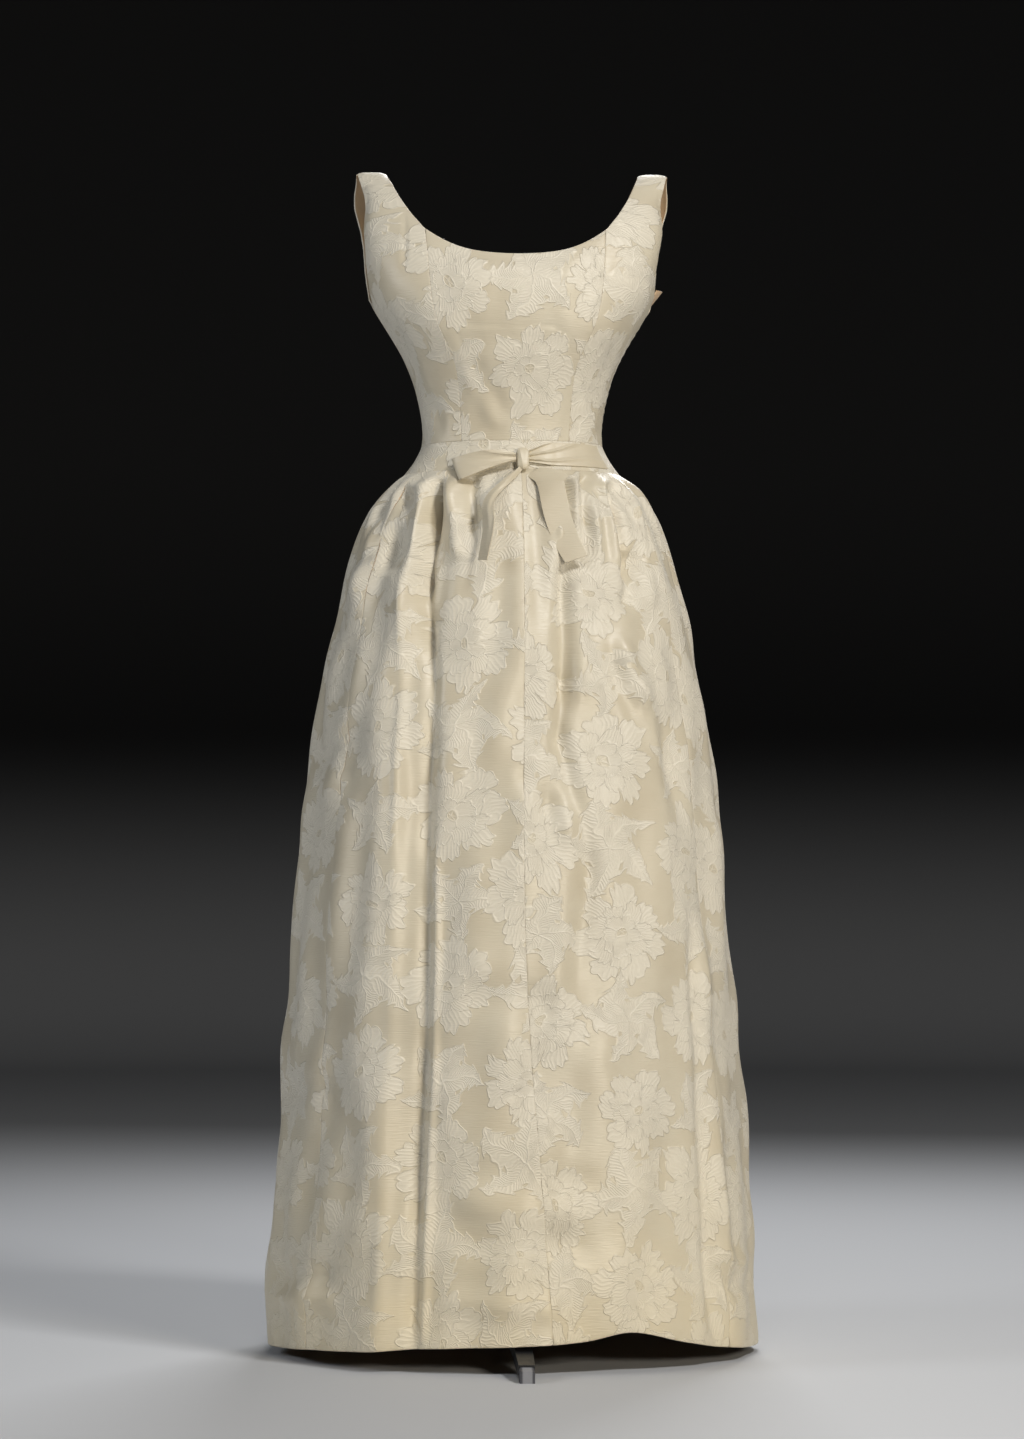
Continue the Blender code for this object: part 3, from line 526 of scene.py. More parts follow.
def merged_panel(node):
    """A bmesh copy of a CAD node with its points merged and its triangles paired."""
    shape = bmesh.new()
    shape.from_mesh(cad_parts[node].data)
    bmesh.ops.remove_doubles(shape, verts=shape.verts, dist=MERGE)
    bmesh.ops.join_triangles(shape, faces=shape.faces, cmp_seam=False, cmp_sharp=False,
                             cmp_uvs=False, cmp_vcols=False, cmp_materials=False,
                             angle_face_threshold=radians(50), angle_shape_threshold=radians(60))
    return shape


def subdivided(node, levels, edge_crease):
    """The panel's mesh after Catmull-Clark, with its rim and corners held by creases."""
    shape = merged_panel(node)
    crease = shape.edges.layers.float.new("crease_edge")
    corner = shape.verts.layers.float.new("crease_vert")
    for edge in shape.edges:
        if len(edge.link_faces) == 2 and edge.calc_face_angle(0) > RIM_TURN:
            edge[crease] = edge_crease
    for vert in shape.verts:
        held = [edge.other_vert(vert).co - vert.co for edge in vert.link_edges if edge[crease] > 0]
        turns = len(held) == 2 and held[0].angle(held[1]) < CORNER_TURN
        if len(held) > 2 or turns:
            vert[corner] = 1.0
    mesh = bpy.data.meshes.new(node + "_coarse")
    shape.to_mesh(mesh)
    shape.free()
    holder = bpy.data.objects.new(node + "_coarse", mesh)
    bpy.context.scene.collection.objects.link(holder)
    smooth = holder.modifiers.new("round", "SUBSURF")
    smooth.levels = smooth.render_levels = levels
    fine = bpy.data.meshes.new_from_object(
        holder.evaluated_get(bpy.context.evaluated_depsgraph_get()))
    bpy.data.objects.remove(holder)
    bpy.data.meshes.remove(mesh)
    return fine


def points_of(mesh):
    """A mesh's points as rows of an array."""
    points = np.empty(len(mesh.vertices) * 3)
    mesh.vertices.foreach_get("co", points)
    return points.reshape(-1, 3)


def set_points(mesh, points):
    """Move a mesh's points to these rows."""
    mesh.vertices.foreach_set("co", points.ravel())
    mesh.update()


print("a front gore has", len(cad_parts["skirt_front_left"].data.polygons), "triangles")

# %% [markdown]
# ## Creases
# The silk is crisp, so the gathers below the waist break into sharp ridges and soft dents rather
# than even waves. They are listed in metres: where each starts and ends, how wide it is and how
# far it stands out (a valley is below 0). In front, the across values are measured on the
# photograph, so each point is compared with a crease at the place where the camera sees it.

# %% Crease table
# start across, start height, end across, end height, width, depth
FRONT_CREASES = (
    (-0.085, 1.270, 0.085, 1.270, 0.0300, 0.0038),
    (-0.070, 1.205, 0.070, 1.205, 0.0200, -0.0030),
    (-0.110, 1.042, -0.152, 0.960, 0.0085, 0.0080),
    (-0.100, 1.042, -0.123, 0.915, 0.0070, 0.0090),
    (-0.124, 1.026, -0.147, 0.925, 0.0085, -0.0160),
    (-0.090, 1.042, -0.109, 0.890, 0.0095, -0.0200),
    (-0.077, 1.042, -0.066, 0.940, 0.0090, 0.0078),
    (-0.049, 1.043, -0.047, 0.965, 0.0080, -0.0100),
    (-0.150, 1.020, -0.178, 0.930, 0.0080, -0.0070),
    (-0.160, 1.020, -0.190, 0.900, 0.0090, 0.0060),
    (0.050, 1.043, 0.052, 0.990, 0.0046, -0.0069),
    (0.057, 1.043, 0.059, 0.960, 0.0052, 0.0058),
    (0.065, 1.043, 0.068, 0.980, 0.0050, -0.0075),
    (0.074, 1.043, 0.078, 0.950, 0.0060, 0.0060),
    (0.086, 1.043, 0.092, 0.970, 0.0055, -0.0070),
    (0.094, 1.043, 0.104, 0.940, 0.0060, 0.0060),
    (0.103, 1.042, 0.127, 0.930, 0.0080, 0.0110),
    (0.119, 1.036, 0.144, 0.915, 0.0090, -0.0130),
    (0.143, 0.950, 0.137, 0.880, 0.0080, -0.0080),
    (0.137, 1.022, 0.163, 0.880, 0.0100, 0.0090),
    (0.126, 0.850, 0.160, 0.770, 0.0110, 0.0070),
    (0.116, 0.830, 0.146, 0.750, 0.0090, -0.0055),
    (0.150, 0.800, 0.176, 0.700, 0.0100, 0.0050),
    (0.061, 0.940, 0.064, 0.775, 0.0090, -0.0085),
    (0.064, 0.800, 0.056, 0.715, 0.0090, -0.0070),
    (0.056, 0.745, 0.097, 0.570, 0.0110, -0.0065),
    (0.097, 0.600, 0.072, 0.430, 0.0120, -0.0055),
    (0.076, 0.930, 0.080, 0.770, 0.0110, 0.0059),
    (-0.108, 0.930, -0.094, 0.775, 0.0080, -0.0090),
    (-0.094, 0.815, -0.103, 0.590, 0.0085, -0.0075),
    (-0.103, 0.640, -0.105, 0.330, 0.0090, -0.0065),
    (-0.105, 0.380, -0.121, 0.030, 0.0090, -0.0070),
    (-0.090, 0.600, -0.093, 0.330, 0.0055, 0.0060),
    (-0.093, 0.370, -0.108, 0.030, 0.0055, 0.0065),
    (-0.130, 0.940, -0.137, 0.590, 0.0085, 0.0050),
    (-0.137, 0.630, -0.161, 0.030, 0.0110, 0.0035),
    (-0.185, 0.740, -0.240, 0.700, 0.0092, -0.0059),
    (-0.180, 0.700, -0.235, 0.660, 0.0092, 0.0051),
    (-0.210, 0.330, -0.280, 0.310, 0.0115, -0.0059),
    (-0.215, 0.110, -0.290, 0.095, 0.0103, -0.0059),
    (-0.210, 0.080, -0.290, 0.070, 0.0092, 0.0051),
    (0.010, 0.690, 0.050, 0.640, 0.0161, -0.0068),
    (0.055, 0.640, 0.100, 0.590, 0.0138, 0.0059),
    (-0.080, 0.200, 0.080, 0.180, 0.0138, 0.0048),
    (-0.060, 0.235, 0.110, 0.215, 0.0138, -0.0048),
    (-0.090, 0.085, 0.060, 0.075, 0.0138, 0.0048),
    (-0.070, 0.150, 0.100, 0.145, 0.0149, -0.0044),
    (-0.050, 0.470, 0.070, 0.450, 0.0149, 0.0043),
    (-0.060, 0.430, 0.060, 0.415, 0.0149, -0.0041),
    (0.110, 0.330, 0.190, 0.270, 0.0138, 0.0048),
    (0.215, 0.520, 0.245, 0.030, 0.0069, -0.0085),
    (0.228, 0.500, 0.262, 0.030, 0.0069, 0.0068),
    (0.245, 0.130, 0.285, 0.110, 0.0103, 0.0059),
    (0.245, 0.095, 0.285, 0.080, 0.0092, -0.0059),
    (0.170, 0.820, 0.205, 0.640, 0.0092, -0.0059),
    (-0.062, 1.165, -0.014, 1.095, 0.0090, 0.0018),
    (-0.045, 1.175, -0.002, 1.110, 0.0090, -0.0016),
    (-0.128, 1.360, -0.130, 1.285, 0.0035, -0.0016),
    (0.110, 1.200, 0.128, 1.150, 0.0070, -0.0014),
    (-0.105, 1.150, -0.085, 1.100, 0.0070, -0.0014),
    (0.080, 1.130, 0.100, 1.100, 0.0060, 0.0012),
)
BACK_CREASES = (
    (-0.120, 1.044, -0.150, 0.930, 0.0069, -0.0076),
    (-0.095, 1.046, -0.112, 0.900, 0.0069, 0.0076),
    (-0.070, 1.046, -0.078, 0.960, 0.0057, -0.0068),
    (-0.048, 1.046, -0.055, 0.850, 0.0069, 0.0076),
    (-0.020, 1.046, -0.025, 0.960, 0.0057, -0.0068),
    (0.015, 1.046, 0.012, 0.880, 0.0069, 0.0076),
    (0.040, 1.046, 0.046, 0.970, 0.0052, -0.0068),
    (0.066, 1.046, 0.078, 0.880, 0.0069, 0.0076),
    (0.092, 1.046, 0.108, 0.950, 0.0057, -0.0076),
    (0.118, 1.044, 0.150, 0.900, 0.0069, 0.0068),
    (-0.060, 0.840, -0.090, 0.400, 0.0103, -0.0076),
    (0.055, 0.860, 0.080, 0.350, 0.0103, -0.0076),
    (-0.150, 0.700, -0.190, 0.250, 0.0103, 0.0068),
    (0.145, 0.720, 0.180, 0.240, 0.0103, 0.0068),
    (-0.100, 0.330, 0.000, 0.310, 0.0138, 0.0048),
    (-0.020, 0.180, 0.110, 0.165, 0.0138, -0.0048),
    (0.090, 0.110, 0.200, 0.100, 0.0126, 0.0048),
    (-0.220, 0.130, -0.120, 0.110, 0.0126, -0.0048),
    (-0.060, 1.180, -0.020, 1.110, 0.0090, 0.0016),
    (0.060, 1.185, 0.022, 1.115, 0.0090, -0.0016),
)
print(len(FRONT_CREASES), "creases in front and", len(BACK_CREASES), "behind")

# %% [markdown]
# A crease is a soft ridge along its line: deepest on it, gone within about two widths, and fading
# towards both of its ends. The closing at the left side adds a row of small puckers, one for each
# hook.

# %% How far the creases stand out
PUCKER, PUCKER_EVERY = 0.0022, 0.010        # m
PUCKER_LOW, PUCKER_HIGH = 1.10, 1.235       # m above the floor
PUCKER_FADE = 0.01                          # m
CLOSING_AT, CLOSING_REACH = 90, 9           # degrees round from the middle of the front
WANDER = 0.25           # share by which a crease's depth varies along it
END_FADE, END_LEFT = 0.22, 0.35             # share of its length that it fades in over, and to


def closing_pucker(points):
    """The closing at the left side pulls between its hooks, in one bump after another."""
    turn = np.degrees(np.arctan2(points[:, 0], -points[:, 1]))
    heights = points[:, 2]
    along = np.clip(np.minimum(heights - PUCKER_LOW, PUCKER_HIGH - heights) / PUCKER_FADE,
                    0, 1)
    bumps = np.abs(np.sin(pi * heights / PUCKER_EVERY)) ** 0.7 - 0.5
    return PUCKER * along * bumps * np.exp(-((turn - CLOSING_AT) / CLOSING_REACH) ** 2)


def crease_push(points):
    """How far each point stands out for the creases on its side of the dress."""
    push = closing_pucker(points)
    nearness = DISTANCE / (DISTANCE + points[:, 1])
    seen_across = (points[:, 0] + sin(AZIMUTH) * points[:, 1]) * nearness
    seen = np.stack((seen_across, points[:, 2]), axis=1)
    for table, side, places in ((FRONT_CREASES, -1, seen), (BACK_CREASES, 1, points[:, (0, 2)])):
        here = points[:, 1] * side > 0
        for x0, z0, x1, z1, width, depth in table:
            run = np.array((x1 - x0, z1 - z0))
            length = np.hypot(*run)
            run /= length
            offset = places - (x0, z0)
            along = offset @ run / length
            away = np.abs(offset[:, 0] * run[1] - offset[:, 1] * run[0]) / width
            wander = 1 + WANDER * np.sin(along * 9 + x0 * 90)
            ends = np.clip(np.minimum(along, 1 - along) / END_FADE + END_LEFT, 0, 1)
            fade = ends ** 2 * (3 - 2 * ends)
            push += np.where(here, depth * wander * fade * np.exp(-away ** 2), 0)
    return push


print("pucker at the closing:", closing_pucker(np.array([[0.12, 0.0, 1.155]])).round(5))

# %% [markdown]
# ## Soft unevenness
# Between the named creases no silk lies perfectly flat. A few crossed waves of uneven length make
# slow dents a few centimetres long, which never repeat the same way twice. A fold that presses in
# is held back where it would reach the form.

# %% Crumple
# across, up, start
WAVES = ((31, 9, 0.3), (17, -13, 1.9), (47, 21, 0.8), (-38, 29, 2.6), (71, -17, 4.4),
         (9, 43, 3.1))
FORM_CLEAR = 0.002          # m that any pressed-in fold keeps from the form
CLOTH_WALL = 0.002          # m between the wall's two faces
FLATTER = 1.25              # the dress is wider than deep, so its cloth faces more front or back


def crumple(points, size):
    """Crossed waves over turn and height, each bent by a slower one."""
    turn = np.arctan2(points[:, 0], -points[:, 1])
    total = np.zeros(len(points))
    for across, up, start in WAVES:
        phase = across * turn * 0.35 + up * points[:, 2] + start
        total += np.sin(phase + 0.8 * np.sin(0.6 * up * points[:, 2] + across))
    return total * size / len(WAVES) ** 0.5


def outward(points):
    """The level direction out of the dress at each point."""
    direction = points.copy()
    direction[:, 2] = 0
    direction[:, 1] *= FLATTER
    return direction / np.linalg.norm(direction, axis=1)[:, None]


form_shape = bmesh.new()
form_shape.from_mesh(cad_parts["form"].data)
form_tree = BVHTree.FromBMesh(form_shape)
form_shape.free()


def clear_of_form(mesh, points, push):
    """Hold back the folds that press in, so that none reaches the form."""
    direction = outward(points)
    for index in np.nonzero(push < 0)[0]:
        distance = form_tree.find_nearest(points[index])[3]
        if mesh.vertices[index].normal.dot(direction[index]) > 0:
            distance -= CLOTH_WALL
        push[index] = max(push[index], min(FORM_CLEAR - distance, 0))
    return push


print("crumple at the knee:", crumple(np.array([[0.1, -0.2, 0.5]]), 0.002).round(5))

# %% [markdown]
# ## Grain and lining
# Every panel is cut on its own grain, so the woven flowers break off at each seam. Each panel gets
# its own UV map in metres, measured round the dress from the panel's middle, with an offset of its
# own. Only the side panels reach over the shoulder, where the strap is longer than it is high.

# %% Grain and lining
STRAP_FROM, STRAP_TOP, STRAP_EXTRA = 1.27, 1.412, 0.05      # m
HEART_TOP = 1.22            # m; faces look towards or away from the dress's axis below this
LOOKS_IN = -0.004


def spread_uv(mesh, places):
    """Give each corner of a mesh the place of its point, in a UV map called cloth."""
    layer = mesh.uv_layers.new(name="cloth")
    corners = np.empty(len(mesh.loops), dtype=np.int32)
    mesh.loops.foreach_get("vertex_index", corners)
    layer.uv.foreach_set("vector", places[corners].ravel())


def cloth_uv(mesh, points, offset):
    """A UV map in metres of cloth: round the dress, and up it."""
    centre = points.mean(axis=0)
    middle = np.arctan2(centre[0], -centre[1])
    turn = (np.arctan2(points[:, 0], -points[:, 1]) - middle + pi) % (2 * pi) - pi
    radius = np.hypot(points[:, 0], points[:, 1])
    climb = np.clip((points[:, 2] - STRAP_FROM) / (STRAP_TOP - STRAP_FROM), 0, 1)
    up = points[:, 2] + STRAP_EXTRA * climb ** 3
    spread_uv(mesh, np.stack((turn * radius + offset[0], up + offset[1]), axis=1))


def line_inside(mesh, skin, lining):
    """Give the wall's inner face the lining and its outer face and rim the silk."""
    mesh.materials.append(skin)
    mesh.materials.append(lining)
    for polygon in mesh.polygons:
        centre, normal = polygon.center, polygon.normal
        heart = Vector((0, 0, min(centre.z, HEART_TOP)))
        polygon.material_index = 1 if (centre - heart).dot(normal) < LOOKS_IN else 0


print("the strap's grain climbs", STRAP_EXTRA / MM, "mm more than its height")

# %% [markdown]
# ## Seams
# Along a cut edge the cloth dips where the stitches hold it, a little unevenly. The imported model
# leaves a hair's breadth between its panels, so each cut edge also slides over to meet the next.
# The straps' two layers part a little, and the left armhole gapes as it does on the real dress.

# %% Seams
SEAM_REACH, SEAM_DIP = 0.005, 0.00045       # m from the cut edge, and m deep at it
SEAM_CLOSE = 0.00022        # m that each cut edge moves over
EDGE = 0.0012               # m; nearer than this to the rim, a point belongs to the cut edge
SEAM_HIGH = 0.0015          # m above or below a waist seam that still belongs to it
RIM_STEP = 0.003            # m between the points that stand for the rim
BAND_LOW, BAND_TOP = (corner[2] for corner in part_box("waistband_front"))


def rim_distance(node, points):
    """How far each point is from its panel's cut edge."""
    shape = merged_panel(node)
    tree_points = []
    for edge in shape.edges:
        if len(edge.link_faces) == 2 and edge.calc_face_angle(0) > RIM_TURN:
            first, second = (vert.co for vert in edge.verts)
            steps = max(int((second - first).length / RIM_STEP), 1)
            tree_points += [first.lerp(second, step / steps) for step in range(steps + 1)]
    shape.free()
    tree = kdtree.KDTree(len(tree_points))
    for index, point in enumerate(tree_points):
        tree.insert(point, index)
    tree.balance()
    return np.array([tree.find(point)[2] for point in points])


STRAP_OPEN, STRAP_BOW = 0.006, 0.006     # how far the front edge draws in and the back bows out
STRAP_INNER, STRAP_MOVES = 0.150, 0.030  # m from the middle of the dress, and on over the strap
STRAP_MIDDLE, STRAP_HALF, STRAP_ROUND = 0.169, 0.019, 0.0035
STRAP_ROUND_FROM, STRAP_ROUND_HIGH = 1.390, 0.020
STRAP_WIDEST, STRAP_SPREAD = 1.374, 0.026
ARMHOLE_DRAW, ARMHOLE_AT, ARMHOLE_SPREAD = 0.007, 1.290, 0.034
ARMHOLE_INNER, ARMHOLE_MOVES = 0.120, 0.050


def bell(heights, middle, spread):
    """1 at a middle height, falling to 0 within about two spreads above and below."""
    return np.exp(-((heights - middle) / spread) ** 2)


def open_straps(node, points):
    """Part each strap's two layers, round its top, and draw the left armhole back."""
    across, heights = np.abs(points[:, 0]), points[:, 2]
    if node.startswith("bodice") and "centre" not in node:
        share = np.clip((across - STRAP_INNER) / STRAP_MOVES, 0, 1) ** 2
        move = -STRAP_OPEN if "front" in node else STRAP_BOW
        move *= share * bell(heights, STRAP_WIDEST, STRAP_SPREAD)
        points[:, 0] += np.sign(points[:, 0]) * move
        edge = np.clip(np.abs(np.abs(points[:, 0]) - STRAP_MIDDLE) / STRAP_HALF, 0, 1) ** 4
        near_top = np.clip((heights - STRAP_ROUND_FROM) / STRAP_ROUND_HIGH, 0, 1)
        points[:, 2] -= STRAP_ROUND * edge * near_top
    if node == "bodice_front_left":
        share = np.clip((points[:, 0] - ARMHOLE_INNER) / ARMHOLE_MOVES, 0, 1) ** 2
        draw = ARMHOLE_DRAW * share * bell(points[:, 2], ARMHOLE_AT, ARMHOLE_SPREAD)
        points[:, 1] -= draw
        points[:, 0] -= draw * 0.8
    return points


def close_seams(points, distance):
    """Slide a panel's cut edges round the dress, and up or down, to meet the next panel's."""
    centre = points.mean(axis=0)
    middle = np.arctan2(centre[0], -centre[1])
    turn = np.arctan2(points[:, 0], -points[:, 1])
    side = np.sign((turn - middle + pi) % (2 * pi) - pi)
    slide = side * np.where(distance < EDGE, SEAM_CLOSE, 0)
    points[:, 0] += slide * np.cos(turn)
    points[:, 1] += slide * np.sin(turn)
    for seam in (BAND_LOW, BAND_TOP):
        meets = (distance < EDGE) & (np.abs(points[:, 2] - seam) < SEAM_HIGH)
        points[:, 2] += np.where(meets, np.sign(seam - centre[2]) * SEAM_CLOSE, 0)
    return points


print("the waist seams are at", round(BAND_LOW, 4), "and", round(BAND_TOP, 4), "m")

# %% A piece of cloth
HELD_FOR = 0.018        # m below the waist seam, or from a bodice seam, that stitches hold flat
PRESSED, PRESSED_HIGH = 0.8, 0.006      # the band's upper seam is pressed nearly flat


def make_piece(name, mesh):
    """Link a finished mesh as a smooth-shaded piece that rides on the one body."""
    mesh.shade_smooth()
    mesh.set_sharp_from_angle(angle=radians(50))
    piece = bpy.data.objects.new(name, mesh)
    bpy.context.scene.collection.objects.link(piece)
    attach(piece, "root")
    return piece


def outer_places(mesh, points):
    """Where each point's mate on the wall's outer face is, so that both faces fold alike."""
    normals = np.empty(len(points) * 3)
    mesh.vertices.foreach_get("normal", normals)
    normals = normals.reshape(-1, 3)
    looks_in = (normals * outward(points)).sum(axis=1) < 0
    return points - normals * np.where(looks_in, CLOTH_WALL, 0)[:, None]


def cloth_piece(node, levels, crease, crumple_size, offset):
    """A dress panel: subdivided, creased, crumpled, dipped at its seams, lined and mapped."""
    mesh = subdivided(node, levels, crease)
    line_inside(mesh, damask_silk, lining_silk)     # while every face still looks out or in
    points = points_of(mesh)
    distance = rim_distance(node, points)
    places = outer_places(mesh, points)
    points = open_straps(node, points)
    push = crease_push(places) + crumple(places, crumple_size)
    held = distance if node.startswith("bodice") else np.maximum(BAND_LOW - points[:, 2], 0)
    held = np.clip(held / HELD_FOR, 0, 1)
    push *= held ** 2 * (3 - 2 * held)
    uneven = 1 + 0.5 * np.sin(points[:, 2] * 260) * np.sin(points[:, 2] * 97 + 1)
    pressed = 1 - PRESSED * bell(points[:, 2], BAND_TOP, PRESSED_HIGH)
    push -= SEAM_DIP * uneven * pressed * np.exp(-(distance / SEAM_REACH) ** 2)
    push = clear_of_form(mesh, points, push)
    points += outward(points) * push[:, None]
    points = close_seams(points, distance)
    set_points(mesh, points)
    cloth_uv(mesh, points, offset)
    piece = make_piece(node + "_silk", mesh)
    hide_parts(node)
    return piece


print("seams dip by", round(SEAM_DIP / MM, 2), "mm")

# %% [markdown]
# ## The dress
# The bodice is close-fitted and smooth, so it gets little crumple. The skirt hangs free and gets
# more, and its rims are softer. A table lists the bodice's and the band's flat sizes as cut: a
# side panel with its strap is longer than it is high, because it runs over the shoulder.

# %% Bodice and waistband
# cut width, cut length, share of that rectangle
PANEL_CUTS = {
    "bodice_front_centre": (0.235, 0.262, 0.72), "bodice_back_centre": (0.225, 0.262, 0.66),
    "bodice_front_left": (0.190, 0.375, 0.55), "bodice_front_right": (0.190, 0.375, 0.55),
    "bodice_back_left": (0.190, 0.375, 0.55), "bodice_back_right": (0.190, 0.375, 0.55),
    "waistband_front": (0.400, 0.042, 0.90), "waistband_back": (0.400, 0.042, 0.90),
}
FRONT_FLOWER = (0.083, 0.041)       # puts one flower a little left of the middle of the front
GRAIN_STEP = (0.077, 0.049)         # m that the next panel's pattern is shifted by
LEVELS = 3                          # of subdivision
BODICE_RIM, BODICE_CRUMPLE = 0.9, 0.0005

for number, (node, (wide, long, share)) in enumerate(PANEL_CUTS.items()):
    grain = [start + step * number for start, step in zip(FRONT_FLOWER, GRAIN_STEP)]
    cloth_piece(node, LEVELS, BODICE_RIM, BODICE_CRUMPLE, grain)

# %% Skirt
GORE_GRAIN, GORE_STEP = (0.02, 0.0), (0.137, 0.061)     # m
SKIRT_RIM, SKIRT_CRUMPLE = 0.75, 0.0030

for number, side in enumerate(("front_left", "front_right", "side_left", "side_right",
                               "back_left", "back_right")):
    node = "skirt_" + side
    grain = [start + step * number for start, step in zip(GORE_GRAIN, GORE_STEP)]
    cloth_piece(node, LEVELS, SKIRT_RIM, SKIRT_CRUMPLE, grain)

# %% [markdown]
# ## Sash and bow
# The sash and its bow are plain silk, doubled. They start from their own solids like the panels.
# The sash is pinched into the knot and fans out in small pleats, and so does the loop, while the
# ends bend softly: one hangs flat and wide, the other narrow and folded along its middle.

# %% Ribbon helpers
RIBBON_LEVELS, RIBBON_RIM = 4, 0.8
KNOT_ACROSS, KNOT_HEIGHT = 0.0075, 1.0600           # m
APEX_BACK, APEX_LEAST = 0.012, 0.004        # m behind the knot's middle, where all pleats meet


def ribbon_uv(mesh, points):
    """A plain map: along the ribbon's longer way and up."""
    spread_uv(mesh, np.stack((points[:, 0] + points[:, 1], points[:, 2]), axis=1))


def fan_pleats(points, side, slope, pleats, depth, reach):
    """Pleats that fan out from the knot and die away along the ribbon."""
    away = (points[:, 0] - KNOT_ACROSS) * side
    from_apex = np.maximum(away + APEX_BACK, APEX_LEAST)
    fan = np.arctan2(points[:, 2] - KNOT_HEIGHT - slope * away, from_apex)
    fade = np.exp(-np.maximum(away, 0) / reach)
    sharp = 1 - np.abs(np.sin(fan * pleats + 0.5 * np.sin(away * 60)))
    return (sharp ** 1.5 - 0.3) * depth * fade


def ribbon_piece(node, mesh, points):
    """A stretch of plain silk that takes its node's place."""
    set_points(mesh, points)
    ribbon_uv(mesh, points)
    mesh.materials.append(plain_silk)
    piece = make_piece(node + "_silk", mesh)
    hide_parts(node)
    return piece


print("the bow's knot is at", KNOT_ACROSS, KNOT_HEIGHT)

# %% Sash
PINCHED, PINCH_LONG = 0.50, 0.040           # share of its width at the knot; m until it is full
SASH_RISE = 0.0035                          # m that it stands off the band beside the knot
SASH_LEAST = -0.0003                        # m that a pleat's valley may go in

mesh = subdivided("sash", RIBBON_LEVELS, RIBBON_RIM)
points = points_of(mesh)
from_knot = np.clip((points[:, 0] - KNOT_ACROSS) / PINCH_LONG, 0, 1)
pinch = PINCHED + (1 - PINCHED) * from_knot ** 2 * (3 - 2 * from_knot)
points[:, 2] = KNOT_HEIGHT + (points[:, 2] - KNOT_HEIGHT) * pinch
points[:, 1] -= SASH_RISE * (1 - from_knot) * from_knot * 2
points[:, 1] -= np.maximum(fan_pleats(points, 1, 0.0, 13, 0.0048, 0.110), SASH_LEAST)
sash = ribbon_piece("sash", mesh, points)
print("sash faces:", len(mesh.polygons))

# %% Loop and tails
RIBBON_CUTS = {"bow_loop": (0.160, 0.024), "bow_tail_left": (0.128, 0.031),
               "bow_tail_right": (0.135, 0.021)}
TAIL_FROM, TAIL_LONG = 1.045, 0.11          # m, the tails' height at the knot and their length
SWING, SWING_BOW = 0.007, 0.011             # m that the narrow tail swings out by, and bows by
FOLD_HIGH, FOLD_WIDE = 0.0045, 0.0040       # m, the ridge along its middle
TUCK_FROM, TUCK_HIGH = 1.032, 0.012         # m, where the flat tail goes in under the knot
FLAT_TOP, FLAT_SLOPE = (0.0306, 1.0425), 0.294      # the flat tail's middle line, and its lean

for node, (long, wide) in RIBBON_CUTS.items():
    mesh = subdivided(node, RIBBON_LEVELS, RIBBON_RIM)
    points = points_of(mesh)
    middle = np.polyval(np.polyfit(points[:, 2], points[:, 0], 3), points[:, 2])
    across = points[:, 0] - middle
    drop = TAIL_FROM - points[:, 2]
    if node == "bow_loop":
        points[:, 1] -= fan_pleats(points, -1, -0.16, 11, 0.0042, 0.045)
    elif node == "bow_tail_right":
        drop = np.clip(drop / TAIL_LONG, 0, 1)
        across *= 0.85
        points[:, 0] = middle + across - SWING * drop
        points[:, 0] -= SWING_BOW * bell(points[:, 2], 1.008, 0.024)
        ridge_shape = np.exp(-((across + 0.0008) / FOLD_WIDE) ** 2)
        points[:, 1] -= FOLD_HIGH * ridge_shape * (0.4 + 0.6 * drop)
    else:
        tucked = np.clip((points[:, 2] - TUCK_FROM) / TUCK_HIGH, 0, 1)
        across *= 1 + 0.6 * tucked
        points[:, 0] = FLAT_TOP[0] + (FLAT_TOP[1] - points[:, 2]) * FLAT_SLOPE + across
        points[:, 1] += 0.0050 * tucked - 0.0011 * np.sin(drop * 70 + across * 90)
    ribbon = ribbon_piece(node, mesh, points)
    print(node, "faces:", len(mesh.polygons))

# %% [markdown]
# ## Knot
# The knot is the sash's silk wrapped round itself a few times, so it is a padded lump. Its turns
# show as soft ridges across its front, and it flares a little at the top and the bottom.

# %% Knot
KNOT_HIGH, KNOT_WIDE = 0.0135, 0.0075       # m, half sizes
KNOT_FLARE, KNOT_STRETCH, WRAP_HIGH = 0.30, 1.10, 0.0011

mesh = subdivided("bow_knot", RIBBON_LEVELS, 0.0)
points = points_of(mesh)
knot_middle = points.mean(axis=0)
from_middle = points - knot_middle
up = from_middle[:, 2] / KNOT_HIGH
from_middle[:, 0] *= 1.04 + KNOT_FLARE * up ** 2
from_middle[:, 2] *= KNOT_STRETCH
turned = from_middle[:, 0] / KNOT_WIDE + 0.35 * up
wraps = WRAP_HIGH * (1 - np.abs(np.sin(turned * 2.3 + 0.6))) ** 1.4
from_middle[:, 1] -= np.where(from_middle[:, 1] < 0, wraps, 0)
knot = ribbon_piece("bow_knot", mesh, knot_middle + from_middle)
print("knot sizes:", np.ptp(points_of(mesh), axis=0).round(4))

# %% [markdown]
# ## Placket
# The closing's underlap is a strip of lining silk inside the left side seam. Its loose top corner
# has slipped up and out, so that a bit of peach silk shows in the armhole.

# %% Placket
FLAP_FROM, FLAP_LONG = 1.236, 0.027                 # m
FLAP_MOVE = np.array((0.003, -0.002, 0.010))        # m that the loose corner stands up
FLAP_DEEP, FLAP_EASE = 0.032, 0.010                 # m back from the middle, where it is held
FLAP_OUT, FLAP_TURN = 0.011, 0.014                  # m that it turns out within the armhole

